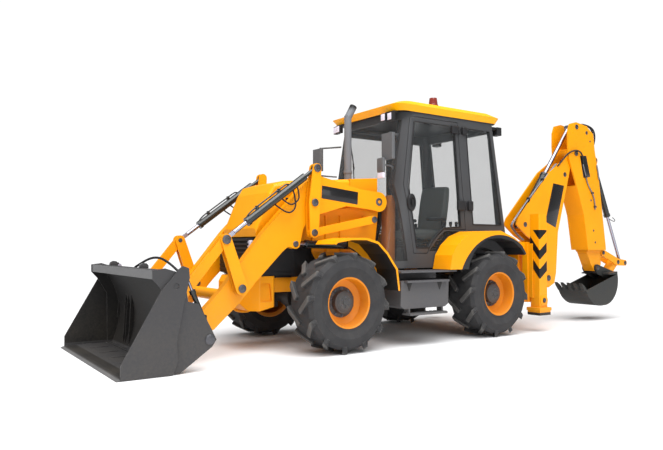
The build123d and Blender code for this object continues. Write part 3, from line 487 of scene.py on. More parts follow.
hose_black = plain("hose_rubber", rgb(34, 34, 36), 0.55, 0.0, 0.2, 400)
trim_black = plain("moulded_black", rgb(34, 34, 36), 0.5, 0.0, 0.18, 500)
seat_fabric = plain("seat_cloth", rgb(98, 103, 101), 0.85, 0.0, 0.5, 700)
engine_iron = plain("engine_casting", rgb(66, 68, 70), 0.6, 0.3, 0.4, 60)
lamp_white = plain("lamp_lens", rgb(226, 222, 238), 0.12, 0.0, 0.3, 90, (1, 3, 0.2), 0.08, 0.8)
beacon_red = plain("beacon_lens", rgb(120, 48, 40), 0.15, 0.0, 0.5, 60, (0.2, 0.2, 6), 0.2, 0.8)
housing_grey = plain("mirror_housing", rgb(92, 93, 95), 0.4, 0.0, 0.1, 300, coat=0.2)
mirror_silver = plain("mirror_glass", rgb(150, 156, 162), 0.05, 1.0, 0.0, 30, None, 0.1)
blank_black = plain("blank_plate", rgb(22, 22, 24), 0.3, 0.0, 0.04, 260, coat=0.4)


def from_axle(made, axle):
    """The way from an axle in the side view, ahead and up, and its length."""
    ahead = made.x - axle.x
    above = made.z - axle.z
    return ahead, above, (ahead * ahead + above * above).root()


PANE_FOOT = 0.9
TYRE_REACH = 0.7
HUB_DISC_RADIUS = 0.157
ARCH_RADII = ((FRONT_AXLE, 0.6), (REAR_AXLE, 0.695))
FENDER_REACH = 1.05
CHASSIS_CHANGE = REAR_AXLE.x + 1.25
SOOT_LEVEL = 2.62


def glazing():
    """Tinted pane that mirrors more at a flat angle, with dust in its lower part."""
    made = Finish("tinted_pane", Roughness=0.04, IOR=1.5)
    flat_angle = made.node("ShaderNodeLayerWeight", {}, {"Blend": 0.5}, "Facing")
    smear = made.noise(9, 5, 0.65).ramp(0.45, 0.9)
    dusty = (1 - (made.z - PANE_FOOT) * 1.8).held() * smear
    made.give("Base Color", made.blend(dusty, rgb(84, 88, 90), rgb(110, 108, 104)))
    made.give("Alpha", (0.14 + flat_angle * flat_angle * flat_angle * 0.5 + dusty * 0.06).held())
    made.give("Roughness", 0.03 + dusty * 0.2)
    made.surface(made.noise(3, 1), 0.02, 0.001, 0)
    return made.material


def rubber():
    """Tyre rubber, dusty between the lugs, with a painted highlight on top of them."""
    made = Finish("tyre_rubber", Specular_IOR_Level=0.2)
    grain = made.noise(160, 4, 0.65)
    broad = made.noise(7, 5, 0.6)
    dust = broad.ramp(0.4, 0.75) * 0.45 + grain * 0.15
    base = made.blend(dust, rgb(50, 50, 52), rgb(76, 75, 74))
    reaches = [from_axle(made, axle)[2] for axle in (FRONT_AXLE, REAR_AXLE)]
    front, rear = [(reach < TYRE_REACH) * reach for reach in reaches]
    # painted highlight: lighter at the tyre's outer radius, on top of the lugs
    lug_top_highlight = (front + rear).ramp(TYRE_RADIUS - 0.025, TYRE_RADIUS - 0.005)
    base = made.blend(lug_top_highlight * 0.6, base, rgb(104, 102, 99))
    edge = made.worn_edge(0.008) * 0.35
    made.give("Base Color", made.blend(edge, base, rgb(128, 126, 122)))
    made.give("Roughness", 0.72 + dust * 0.25)
    made.surface(grain * 0.7 + broad * 0.3, 0.25, 0.001, 0.004)
    return made.material


def hub_disc(axle):
    """Grey hub disc within the orange rim."""
    return lambda made: from_axle(made, axle)[2] < HUB_DISC_RADIUS


def rubber_lip_and_fender_shade(made):
    """Black rubber lip along the wheel arch, and painted shade on the fender's underside, where it
    faces the axle.
    """
    band = 0.0
    for axle, arch in ARCH_RADII:
        ahead, above, reach = from_axle(made, axle)
        inward = (made.facing("X") * ahead + made.facing("Z") * above) / reach
        # within the arch's radius: the black rubber lip; faces that look towards the axle: painted
        # shade
        band = band + ((reach < arch) + (inward < -0.25)).held() * (reach < FENDER_REACH)
    return band.held()


PAD_LOW, PAD_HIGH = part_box("stabiliser_left")
LEG_FRONT, LEG_OUTER = PAD_HIGH[0] - 0.036, PAD_HIGH[1] - 0.028
PAD_TOP = PAD_LOW[2] + 0.035
ARROW_LEVELS = ((0.652, 0.777), (0.893, 1.01))
TOP_ARROW, TOP_ARROW_END = 1.144, 1.271


def chevrons(made):
    """Three dark arrows that point down along the outer front corner of the leg, and a dark pad."""
    aside = ((LEG_OUTER - abs(made.y)) * 1.3).held()
    along = ((LEG_FRONT - made.x) * 0.75).held()
    level = made.z - aside - along
    lower, upper = [level.between(*levels) for levels in ARROW_LEVELS]
    top = (level > TOP_ARROW) * (made.z < TOP_ARROW_END)
    return (lower + upper + top + (made.z < PAD_TOP)).held()


def soot_tip(made):
    """Soot around the mouth of the exhaust."""
    return (made.z - SOOT_LEVEL).ramp(0, 0.05)


def painted_underside_shade(made):
    """Painted shade on the roof's faces that look down."""
    return made.facing("Z") < -0.8


def bare_chassis(made):
    """The frame under the cab is black and its front is in the machine's colour."""
    return made.x < CHASSIS_CHANGE


FLOOR_TOP, SHADE_TOP, STRIP_HALF = 0.05, 0.83, 1.0
STRIP_BACK, STRIP_FRONT = REAR_AXLE.x + 4.31, REAR_AXLE.x + 4.42
EDGE_BACK, EDGE_TOP = REAR_AXLE.x + 4.43, 0.06
BEAM_BACK, BEAM_FOOT, BEAM_HALF = REAR_AXLE.x + 3.9, 0.78, 0.97


def shovel_shade(half_width):
    """Painted shade: darker inside the shovel, within a half width, and on a strip behind the
    cutting edge.
    """
    def mask(made):
        inside = (abs(made.y) < half_width) * made.z.between(FLOOR_TOP, SHADE_TOP)
        strip = made.x.between(STRIP_BACK, STRIP_FRONT) * (made.z < FLOOR_TOP)
        return (inside + strip * (abs(made.y) < STRIP_HALF)).held()
    return mask


def worn_edge_and_lit_beam(made):
    """The cutting edge, worn lighter by the load, and a painted highlight on the front of the top
    beam.
    """
    edge = (made.x > EDGE_BACK) * (made.z < EDGE_TOP)
    # painted highlight: the faces of the top beam that look forward are made lighter
    beam = (made.facing("X") > 0.35) * (made.z > BEAM_FOOT) * (made.x > BEAM_BACK)
    return (edge + beam * (abs(made.y) < BEAM_HALF)).held()


glass = glazing()
tyre_rubber = rubber()
# its lighter colour, rgb(104, 104, 105), is worn steel on the cutting edge and a painted highlight
# on the front of the top beam
# the shovel's second colour, rgb(36, 36, 37), is painted shade inside the shovel and on the strip
# behind its cutting edge
shovel_grey, clam_grey = (
    painted(f"{name}_enamel", rgb(64, 64, 66), rough=0.45, dust=0.12, wear=0.8, coat=0.05,
            mask=shovel_shade(half), second=rgb(36, 36, 37), wear_and_highlight=worn_edge_and_lit_beam,
            wear_and_highlight_colour=rgb(104, 104, 105))
    for name, half in (("shovel", 0.994), ("clam", 1.017)))
bucket_grey = painted("bucket_enamel", rgb(48, 50, 50), rough=0.42, dust=0.1, wear=0.8, coat=0.1)
chassis_finish = painted("chassis_enamel", rgb(240, 150, 0), dust=0.3, mask=bare_chassis,
                         second=rgb(42, 43, 45))
rim_front = painted("rim_front_enamel", ORANGE, dust=0.3, mask=hub_disc(FRONT_AXLE),
                    second=HUB_GREY)
rim_rear = painted("rim_rear_enamel", ORANGE, dust=0.3, mask=hub_disc(REAR_AXLE),
                   second=HUB_GREY)
# the fender's second colour, rgb(40, 41, 43), is black rubber on the arch's lip and painted shade
# on the underside
fender_finish = painted("fender_enamel", YELLOW, mask=rubber_lip_and_fender_shade, second=rgb(40, 41, 43))
leg_finish = painted("leg_enamel", YELLOW, mask=chevrons, second=rgb(22, 22, 24))
# the roof's second colour, rgb(34, 35, 37), is painted shade on its underside
roof_finish = painted("roof_enamel", rgb(252, 176, 0), mask=painted_underside_shade, second=rgb(34, 35, 37), dust=0)
exhaust_finish = painted("exhaust_steel", rgb(112, 114, 118), rough=0.4, dust=0, wear=0.1,
                         coat=0.0, mask=soot_tip, second=rgb(18, 18, 19))

DRESS = {
    "chassis_frame": chassis_finish, "front_nose": yellow, "radiator_housing": trim_black,
    "engine_block": engine_iron, "axle_housings": frame_black, "fenders": fender_finish,
    "side_boxes": step_grey, "cab_frame": cab_grey, "cab_roof": roof_finish,
    "cab_glass": glass, "cab_interior": seat_fabric, "exhaust_stack": exhaust_finish,
    "mirrors_and_lamps": trim_black, "rear_frame": yellow, "tie_down_eyes": frame_black,
    "door_left": cab_grey, "door_right": cab_grey, "bonnet": yellow,
    "knuckle_left": frame_black, "knuckle_right": frame_black, "crank_pins": pin_steel,
    "link_pins": pin_steel, "shovel_pins": pin_steel, "shovel_back": shovel_grey,
    "shovel_clam": clam_grey, "hoe_bucket": bucket_grey,
}
for name, node in nodes.items():
    if name.startswith("tyre"):
        finish = tyre_rubber
    elif name.startswith("rim"):
        finish = rim_front if "front" in name else rim_rear
    elif name.startswith("stabiliser"):
        finish = leg_finish
    elif "barrel" in name:
        finish = cylinder_black
    elif name.endswith(("rod", "rods")):
        finish = chrome
    else:
        finish = DRESS.get(name, yellow)
    node.data.materials.clear()
    node.data.materials.append(finish)


# ------------------------------------------------------------ fittings
def solids_of(node):
    """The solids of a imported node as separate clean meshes."""
    copy = copy_of(nodes[node])
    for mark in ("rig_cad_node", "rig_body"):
        if mark in copy:
            del copy[mark]
    bpy.ops.object.parent_clear(type="CLEAR_KEEP_TRANSFORM")
    bpy.ops.object.mode_set(mode="EDIT")
    bpy.ops.mesh.select_all(action="SELECT")
    bpy.ops.mesh.remove_doubles(threshold=FINE_WELD)
    bpy.ops.mesh.separate(type="LOOSE")
    bpy.ops.object.mode_set(mode="OBJECT")
    return list(bpy.context.selected_objects)


def heights_of(piece):
    """The lowest and the highest level of a piece."""
    levels = [vertex.co.z for vertex in piece.data.vertices]
    return min(levels), max(levels)


# ---- doors: one leaf each, with the pane's finish inside its seal
DOOR_PANE = [(1010, 2500), (1126, 1740), (1052, 1130), (1040, 1050), (858, 1050), (820, 1100),
             (718, 1204), (608, 1280), (330, 1300), (336, 1560), (376, 2500)]
PANE_FACING = 0.9


def within(outline, place):
    """Whether a place lies inside an outline of stations and heights, seen from the side."""
    corners = [(at(x, 0, z).x, z / 1000) for x, z in outline]
    inside = False
    for (x0, z0), (x1, z1) in zip(corners, corners[1:] + corners[:1]):
        if (z0 > place.z) != (z1 > place.z):
            if place.x < x0 + (place.z - z0) * (x1 - x0) / (z1 - z0):
                inside = not inside
    return inside


for name in ("door_left", "door_right"):
    leaf = joined(solids_of(name))
    soften(leaf, 0.003, 2, 25)
    fit(leaf, f"{name}_leaf", name, cab_grey)
    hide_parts(name)
    leaf.data.materials.append(glass)
    for face in leaf.data.polygons:
        if abs(face.normal.y) > PANE_FACING and within(DOOR_PANE, face.center):
            face.material_index = 1

# ---- lamps, beacon and mirrors, told apart by their heights
BEACON_TOP, MIRROR_FOOT = 2.76, 2.3
lamps, beacons, mirrors = [], [], []
for part in solids_of("mirrors_and_lamps"):
    foot, top = heights_of(part)
    (beacons if top > BEACON_TOP else mirrors if foot < MIRROR_FOOT else lamps).append(part)
for group, name, finish, round_off in ((lamps, "work_lamps", trim_black, 0.006),
                                       (beacons, "beacon", beacon_red, 0.006),
                                       (mirrors, "door_mirrors", housing_grey, 0.016)):
    piece = soften(joined(group), round_off, 4, 25)
    fit(piece, name, "machine", finish)
    if name == "work_lamps":
        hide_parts("mirrors_and_lamps")

# ---- lenses of the front and rear lamps
LAMP_LEVEL = 2542
lenses = []
for side in SIDES:
    for station, y, half in ((1297, 545, 0.033), (1319, 455, 0.033), (-522, 550, 0.042)):
        face = at(station, side * y, LAMP_LEVEL)
        lenses.append(bar(face - Vector((0.002, half, 0.038)),
                          face + Vector((0.0035, half, 0.038)), 0.003, 3))
fit(joined(lenses), "lamp_lenses", "machine", lamp_white)

# ---- glasses on the rear faces of the mirror housings
glasses = []
for side in SIDES:
    face = at(1428, side * 710, 2165)
    glasses.append(bar(face - Vector((0.003, 0.078, 0.13)), face + Vector((0.002, 0.078, 0.13)),
                       0.002))
fit(joined(glasses), "mirror_glasses", "machine", mirror_silver)


# ---- pin heads
def pin_head(pin, y, radius, thick, side):
    """A pin's end plate with a chamfer and a sunk middle."""
    t = thick / 1000
    r = radius / 1000
    profile = [(0, 0.0), (0, r), (t * 0.55, r), (t, r * 0.82), (t, r * 0.42), (t * 0.45, r * 0.34),
               (t * 0.45, 0.0)]
    return turned(profile, at_pin(pin, y), "Y", 28, flip=side < 0)


def pin_heads(name, body, centre, places):
    """One piece with the heads on both ends of some pins, evenly about a distance aside."""
    heads = [pin_head(pin, centre + side * face, radius, thick, side)
             for pin, face, radius, thick in places for side in SIDES]
    fit(joined(heads), name, body, pin_steel)


ARM_PIVOT, LEVER_PIN, LEVER_LOW, LEVER_TOP = (1449, 1561), (2357, 1515), (2357, 1205), (2325, 1873)
LINK_REAR, CRANK_PIN, CRANK_TOP = (1571, 1358), (3176, 664), (3340, 1131)
SHOVEL_PIN, LIFT_EYE = (3740, 270), (2530, 1090)
for name, body, places in (
        ("arm_pin_heads", "loader_arms", ((ARM_PIVOT, 545, 44, 9), (LEVER_PIN, 641, 40, 9),
                                          (LIFT_EYE, 545, 32, 9))),
        ("lever_pin_heads", "levers", ((LEVER_TOP, 636, 42, 9), (LEVER_LOW, 633, 38, 9))),
        ("link_rear_heads", "machine", ((LINK_REAR, 619, 36, 9),)),
        ("crank_pin_heads", "crank_pins", ((CRANK_PIN, 640, 40, 9),)),
        ("link_pin_heads", "link_pins", ((CRANK_TOP, 640, 44, 9),)),
        ("shovel_pin_heads", "shovel_pins", ((SHOVEL_PIN, 642, 42, 9),))):
    pin_heads(name, body, 0, places)

BOOM_PIVOT, BOOM_EYE, DIPPER_BASE = (-1480, 632), (-1012, 1355), (-1870, 2074)
DIPPER_PIVOT, DIPPER_EYE, CROWD_BASE = (-2087, 2388), (-2113, 2770), (-2675, 2338)
LEVER_PIVOT, BUCKET_PIVOT = (-2794, 970), (-2611, 746)
for name, body, places in (
        ("kingpost_pin_heads", "kingpost", ((BOOM_PIVOT, 118, 40, 8),)),
        ("boom_pin_heads", "boom", ((BOOM_EYE, 111, 34, 6), (DIPPER_BASE, 111, 34, 5),
                                    (DIPPER_PIVOT, 147, 38, 8))),
        ("dipper_pin_heads", "dipper", ((DIPPER_EYE, 140, 36, 8), ((-2345, 2706), 140, 26, 7),
                                        ((-2425, 2590), 140, 14, 6), ((-2484, 1292), 140, 16, 5),
                                        ((-2523, 1121), 140, 16, 5),
                                        ((-2430, 1730), 140, 16, 5))),
        ("extension_pin_heads", "extension", ((CROWD_BASE, 62, 34, 7), (LEVER_PIVOT, 94, 30, 7),
                                              (BUCKET_PIVOT, 116, 34, 7))),
        ("tipping_pin_heads", "tipping_lever", (((-3176, 824), 88, 32, 7),
                                                ((-3362, 810), 88, 32, 7)))):
    pin_heads(name, body, HOE, places)


# ---- bolts
def bolt(place, side, radius, height):
    """A hexagon head on its washer, on a face that looks to one side."""
    clear()
    bpy.ops.mesh.primitive_cylinder_add(vertices=6, radius=radius / 1000, depth=height / 1000,
                                        location=place + Vector((0, side * height / 2000, 0)),
                                        rotation=(math.radians(90), 0, 0))
    head = soften(settle(bpy.context.object), 0.0012)
    washer = turned([(0, 0), (0, radius * 1.5e-3), (0.0015, radius * 1.5e-3),
                     (0.002, radius * 1.2e-3), (0.002, 0)], place, "Y", 16, flip=side < 0)
    return joined([head, washer])


def bolt_ring(first, count, centre):
    """A bolt and its copies, evenly round an axis that runs across the machine."""
    return [first] + [swung(first, math.tau * index / count, centre) for index in range(1, count)]


for corner, axle in (("front_left", FRONT_AXLE), ("rear_left", REAR_AXLE),
                     ("front_right", FRONT_AXLE), ("rear_right", REAR_AXLE)):
    side = 1 if corner.endswith("left") else -1
    hub = Vector((axle.x, side * WHEEL_Y, axle.z))
    nuts = []
    for count, ring, reach, across in ((10, 0.137, 0.043, 12), (6, 0.052, 0.112, 7)):
        first = bolt(hub + Vector((0, side * reach, ring)), side, across, across)
        nuts += bolt_ring(first, count, Vector((axle.x, 0, axle.z)))
    fit(joined(nuts), f"wheel_nuts_{corner}", f"wheel_{corner}", pin_steel)
    cap_ring = turned([(0.1125, 0.0), (0.1125, 0.03), (0.118, 0.026), (0.118, 0.0)], hub, "Y", 32,
                      flip=side < 0)
    rim_ring = turned([(0.1, 0.078), (0.1, 0.094), (0.104, 0.09), (0.104, 0.082)], hub, "Y", 48,
                      flip=side < 0)
    fit(joined([cap_ring, rim_ring]), f"hub_rings_{corner}", f"wheel_{corner}", cab_grey)

# ---- bare plates
PLATE = 1.6


def blank_plate(outline, face):
    """A thin plate without any marks, which begins at a distance from the middle."""
    return cut_plate(outline, face, face + PLATE, 0.0006)


fit(both_sides(blank_plate([(2211, 1706), (1740, 1657), (1746, 1520), (2217, 1570)], 545)),
    "arm_plates", "loader_arms", blank_black)
for name, body, half, outline in (
        ("boom_plates", "boom", 111, [(-1610, 1938), (-1848, 1915), (-1650, 1322), (-1428, 1402)]),
        ("dipper_plates", "dipper", 140,
         [(-2182, 2360), (-2330, 2372), (-2420, 2071), (-2255, 2051)])):
    plates = [blank_plate(outline, HOE + face) for face in (half, -half - PLATE)]
    fit(joined(plates), name, body, blank_black)

# ---- hoses and pipes of the hoe
HOSE, HOSE_DROP = 0.011, 12
loops = []
for offset in (-96, -68, 68, 96):
    y = HOE + offset
    drop = HOSE_DROP if abs(offset) > 80 else 0
    loops.append(run([(-2190, y, 2740), (-2225, y, 2806), (-2330, y, 2846 - drop),
                      (-2470, y, 2836 - drop), (-2590, y, 2780), (-2620, y, 2640),
                      (-2560, y, 2520)], HOSE))
fit(joined(loops), "dipper_head_hoses", "dipper", hose_black)
crossing = run([(-1700, HOE + 118, 2180), (-1800, HOE + 120, 2270), (-1920, HOE + 150, 2390),
                (-2060, HOE + 172, 2430), (-2190, HOE + 168, 2400), (-2235, HOE + 152, 2300),
                (-2245, HOE + 148, 2230)], HOSE)
fit(crossing, "joint_hose", None, hose_black)
tuple(at(-1960, HOE, 2388))
tuple(at(-2160, HOE, 2388))
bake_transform(crossing)
pipes = []
for y, lift in ((HOE + 80, 0), (HOE + 100, 14)):
    pipes.append(run([(-1705, y, 2215), (-1560, y, 2085 + lift), (-1249, y, 1830 + lift),
                      (-990, y, 1580 + lift), (-795, y, 1390), (-755, y, 1335), (-790, y, 1290),
                      (-905, y, 1195), (-990, y, 1150)], 0.0075))
fit(joined(pipes), "boom_pipes", "boom", pipe_steel)
clamps = [block((station - 16, station + 16), (HOE + 70, HOE + 109), (level - 60, level + 30),
                0.004) for station, level in ((-1400, 1965), (-1105, 1690))]
fit(joined(clamps), "boom_pipe_clamps", "boom", frame_black)
DIPPER_PIPE_Y = HOE + 152
dipper_pipes = [run([(station, DIPPER_PIPE_Y, level) for station, level in course], 0.009)
                for course in (((-2235, 2240), (-2300, 2063), (-2345, 1949), (-2450, 1838),
                                (-2500, 1740), (-2515, 1600)),
                               ((-2565, 2250), (-2600, 2150), (-2612, 2040)))]
fit(joined(dipper_pipes), "dipper_pipes", "dipper", pipe_steel)
clamps = [block((station - 22, station + 22), (HOE + 140, HOE + 166), (level - 14, level + 14),
                0.004) for station, level in ((-2300, 2063), (-2450, 1838), (-2512, 1640))]
fit(joined(clamps), "dipper_pipe_clamps", "dipper", pin_steel)
guard = run([(-3110, HOE + 46, 1500), (-3190, HOE + 40, 1470), (-3235, HOE, 1440),
             (-3190, HOE - 40, 1470), (-3110, HOE - 46, 1500)], 0.006)
fit(guard, "crowd_gland_guard", "crowd_barrel", pin_steel)

# ---- shovel
hooks = [cut_plate([(4010, 868), (4100, 868), (4092, 902), (4064, 918), (4030, 914),
                    (4012, 896)], y - 14, y + 14, 0.005, 3) for y in (-546, 420)]
fit(joined(hooks), "shovel_hooks", "shovel_back", shovel_grey)
clam_hose = run([(4020, 60, 868), (3985, 120, 905), (3960, 300, 955), (3950, 480, 968),
                 (3940, 640, 950), (3900, 800, 880), (3860, 900, 800), (3830, 930, 740)], HOSE)
fit(clam_hose, "clam_hose", "shovel_back", hose_black)
BOSS = (3662, 268)
bosses = []
for side in SIDES:
    bosses.append(turned([(0, 0.0), (0, 0.044), (0.006, 0.044), (0.01, 0.038), (0.01, 0.0)],
                         at_pin(BOSS, side * 1008), "Y", 32, flip=side < 0))
    first = bolt(at(BOSS[0], side * 1018, BOSS[1] + 28), side, 6, 5)
    bosses += bolt_ring(first, 6, at_pin(BOSS, 0))
fit(joined(bosses), "shovel_corner_bosses", "shovel_back", pin_steel)
strips = [cut_plate([(4060, 24), (4240, 24), (4240, 29), (4060, 29)], y - 22, y + 22)
          for y in (-700, -350, 0, 350, 700)]
fit(joined(strips), "floor_wear_strips", "shovel_clam", shovel_grey)

# ---- pipes and hoses along the tilt cylinders
TILT_Y, TILT_PIPE = 592, 0.008
lever_top, crank_top = at_pin(LEVER_TOP, TILT_Y), at_pin(CRANK_TOP, TILT_Y)
along = (crank_top - lever_top).normalized()
above = Vector((-along.z, 0, along.x))


def beside_barrel(side, course, aside=0.0):
    """Points along a tilt cylinder: how far from its lever pin, and how far above its axis."""
    return [(lever_top + along * t + above * h + Vector((0, aside, 0))) * Vector((1, side, 1))
            for t, h in course]


tilt_pipes, tilt_hoses = [], []
half = Vector((0.012, 0.02, 0.022))
for side in SIDES:
    tilt_pipes.append(pipe(beside_barrel(side, ((0.36, 0.03), (0.38, 0.056), (0.42, 0.06),
                                                (0.7, 0.06), (0.92, 0.06), (0.95, 0.03))),
                           TILT_PIPE))
    tilt_pipes += [bar(grip - half, grip + half)
                   for grip in beside_barrel(side, ((0.5, 0.05), (0.8, 0.05)))]
fit(joined(tilt_pipes), "tilt_barrel_pipes", "tilt_barrels", cylinder_black)
for side in SIDES:
    for start, end, sag in ((0.3, 0.52, 0.15), (0.36, 0.62, 0.2)):
        centre = (start + end) / 2
        course = ((start, -0.03), (start + 0.02, -0.09), (centre - 0.05, -sag),
                  (centre + 0.05, -sag), (end - 0.02, -0.09), (end, -0.03))
        tilt_hoses.append(pipe(beside_barrel(side, course, 0.012), TILT_PIPE))
fit(joined(tilt_hoses), "tilt_barrel_hoses", "tilt_barrels", hose_black)

# ---- front end
head_lamps = [block((2926, 2958), (300 * side, 368 * side), (1010, 1128), 0.008, 3)
              for side in SIDES]
fit(joined(head_lamps), "head_lamps", "machine", lamp_white)
hoop = run([(2720, 0, 430), (2760, 0, 380), (2860, 0, 372), (2960, 0, 400), (3000, 0, 450)],
           0.014)
fit(hoop, "towing_hoop", "machine", yellow)
louvres = [block((2250, 2560), (386, 390), (level, level + 20)) for level in range(1300, 1553, 42)]
fit(both_sides(joined(louvres)), "bonnet_louvres", "bonnet", trim_black)

# ---- cab trim
CAB_FOOT, CAB_RISE, CAB_HALF, CAB_LEAN = 820, 1790, 720, 80
SEAL_PROUD, SEAL_RADIUS = 1.5, 0.007
DOOR_HINGE, HINGE_LEVEL, HINGE_SLOPE = 271, 1890, 0.0593
HANDLE_LEVEL = 1562
QUARTER = [(178, 2500), (120, 1330), (-380, 1330), (-235, 2500)]


def side_y(level):
    """Half width of the cab at a height, since its side walls lean inward."""
    return CAB_HALF - CAB_LEAN * (level - CAB_FOOT) / CAB_RISE


def seal(outline):
    """A rubber strip round a pane in the cab's left wall."""
    points = [at(x, side_y(z) + SEAL_PROUD, z) for x, z in outline]
    return joined([round_bar(first, second, SEAL_RADIUS, 10, 0.001)
                   for first, second in zip(points, points[1:] + points[:1])])


door_seal = seal(DOOR_PANE)
other_seal = mirrored(door_seal)
fit(door_seal, "door_seal_left", "door_left", trim_black)
fit(other_seal, "door_seal_right", "door_right", trim_black)
fit(both_sides(seal(QUARTER)), "quarter_seals", "machine", trim_black)

for side, name in SIDE_NAMES:
    handle = turned([(0, 0.0), (0, 0.1), (0.012, 0.1), (0.02, 0.088), (0.02, 0.06), (0.008, 0.05),
                     (0.008, 0.0)], (0, 0, 0), "Y", 40, flip=side < 0)
    handle.scale = (0.62, 1, 1)
    wall = side_y(HANDLE_LEVEL)
    handle.location = at(1098, side * (wall + 1), HANDLE_LEVEL)
    settle(handle)
    pull = block((1088, 1108), (side * (wall - 2), side * (wall + 34)), (1530, 1596), 0.006, 3)
    fit(joined([handle, pull]), f"door_handle_{name}", f"door_{name}", trim_black)
    door_half, post_half = [], []
    for foot, top in ((2415, 2510), (1493, 1610)):
        level = (foot + top) / 2
        pin, wall = DOOR_HINGE + HINGE_SLOPE * (level - HINGE_LEVEL), side * side_y(level)
        width = (side * (side_y(top) - 4), side * (side_y(foot) + 34))
        door_half.append(block((pin + 24, pin + 132), width, (foot, top), 0.012, 3))
        post_half.append(block((pin - 120, pin - 46), width, (foot, top), 0.012, 3))
        post_half.append(round_bar(at(pin - 2, wall + side * 14, foot + 4),
                                   at(pin + 2, wall + side * 10, top - 4), 0.017))
        post_half.append(block((pin - 60, pin - 6), (wall - 8, wall + 8), (foot + 20, top - 20),
                               0.004))
    fit(joined(door_half), f"door_hinges_{name}", f"door_{name}", trim_black)
    fit(joined(post_half), f"post_hinges_{name}", "machine", trim_black)

lower_mirrors = []
for side in SIDES:
    lower_mirrors.append(block((1486, 1524), (596 * side, 712 * side), (1880, 2040), 0.014, 4))
    lower_mirrors.append(run([(1262, side * 560, 1950), (1330, side * 640, 1960),
                              (1440, side * 660, 1965), (1492, side * 660, 1965)], 0.01))
fit(joined(lower_mirrors), "lower_mirrors", "machine", housing_grey)
markers = [block((1488, 1520), (604 * side, 704 * side), (1816, 1876), 0.01, 4) for side in SIDES]
fit(joined(markers), "marker_lamps", "machine", lamp_white)

# ---- inside the cab
inside = sorted(solids_of("cab_interior"), key=lambda piece: heights_of(piece)[1])
bpy.data.objects.remove(inside.pop())  # the plain seat: padded cushions take its place
shell = soften(joined(inside), 0.012, 3, 25)
fit(shell, "cab_fittings", "machine", trim_black)
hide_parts("cab_interior")
seat_base = [block((170, 600), (-200, 200), (848, 1040), 0.02, 3)]
for level in range(1042, 1124, 27):
    seat_base.append(block((190, 590), (-185, 185), (level, level + 22), 0.009, 3))
fit(joined(seat_base), "seat_base", "machine", trim_black)


def cushion(width, length, thick, crown, channels):
    """A padded form with a crowned top, pulled-in sides and sewn channels across it."""
    clear()
    bpy.ops.mesh.primitive_cube_add(size=2)
    pad = bpy.context.object
    bpy.ops.object.mode_set(mode="EDIT")
    bpy.ops.mesh.select_all(action="SELECT")
    bpy.ops.mesh.subdivide(number_cuts=23)
    bpy.ops.object.mode_set(mode="OBJECT")
    for vertex in pad.data.vertices:
        u, v, w = vertex.co
        swell = max(0, (1 - u ** 4) * (1 - v ** 4))
        side = 1 - 0.05 * abs(w) ** 3 - 0.03 * (u * v) ** 2
        groove = sum(math.exp(-((u - place) / 0.035) ** 2) for place in channels)
        inner = 1 if abs(v) < 0.72 else 0.25
        rise = w * (thick / 2 + crown * swell * (w > 0) - 0.012 * groove * inner * (w > 0))
        vertex.co = (u * length / 2 * side, v * width / 2 * side, rise * (1 - 0.25 * (u * v) ** 4))
    pick(pad)
    bpy.ops.object.modifier_add(type="SUBSURF")
    pad.modifiers[-1].levels = pad.modifiers[-1].render_levels = 1
    bpy.ops.object.modifier_apply(modifier=pad.modifiers[-1].name)
    return pad


squab = cushion(0.49, 0.47, 0.11, 0.022, (-0.45, 0.0, 0.45))
squab.location = at(396, 0, 1205)
settle(squab)
fit(squab, "seat_cushion", "machine", seat_fabric)
backrest = cushion(0.46, 0.6, 0.1, 0.02, (-0.55, -0.15, 0.25, 0.65))
backrest.rotation_euler = (0, math.radians(-99), 0)
backrest.location = at(118, 0, 1535)
settle(backrest)
fit(backrest, "seat_backrest", "machine", seat_fabric)
rests = []
for side in SIDES:
    rests.append(block((180, 480), (side * 275 - 32, side * 275 + 32), (1380, 1425), 0.018, 4))
    rests.append(round_bar(at(205, side * 262, 1200), at(225, side * 275, 1390), 0.014))
fit(joined(rests), "seat_armrests", "machine", trim_black)
clear()
bpy.ops.mesh.primitive_torus_add(major_radius=0.2, minor_radius=0.014, major_segments=48,
                                 minor_segments=12, location=at(951, 0, 1600),
                                 rotation=(0, math.radians(-18), 0))
fit(settle(bpy.context.object), "steering_wheel", "machine", trim_black)
levers = []
for side in SIDES:
    for station in (60, 160, 260):
        levers.append(round_bar(at(station, side * 390, 1125), at(station + 20, side * 380, 1330),
                                0.008))
        levers.append(turned([(-0.03, 0), (-0.025, 0.016), (0.02, 0.022), (0.032, 0.012),
                              (0.034, 0)], at(station + 22, side * 379, 1340), "Z", 20))
fit(joined(levers), "control_levers", "machine", trim_black)
duct = cut_plate([(1190, 850), (1330, 850), (1300, 1560), (1240, 1660), (1180, 1600)], 400, 520,
                 0.02, 4)
fit(both_sides(duct), "corner_ducts", "machine", painted("duct_enamel", rgb(176, 108, 52), dust=0))

# ---- windscreen wiper
wiper = [round_bar(at(1330, -60, 1560), at(1235, -250, 2200), 0.006),
         round_bar(at(1262, -180, 2010), at(1213, -330, 2380), 0.007),
         turned([(0, 0.0), (0, 0.024), (0.02, 0.02), (0.024, 0.0)], at(1336, -60, 1560), "X", 24)]
fit(joined(wiper), "windscreen_wiper", "machine", trim_black)

# ---- steps
treads = []
for station in range(870, 1367, 62):
    treads.append(block((station, station + 30), (890, 1006), (351, 357), 0.002))
    treads.append(block((station - 10, station + 24), (880, 978), (799, 804), 0.002))
fit(both_sides(joined(treads)), "step_treads", "machine", step_grey)
brackets = [cut_plate([(station - 40, 676), (station + 40, 676), (station + 4, 590),
                       (station - 4, 590)], 958, 963, 0.001) for station in (1370, 930)]
fit(both_sides(joined(brackets)), "step_brackets", "machine", frame_black)

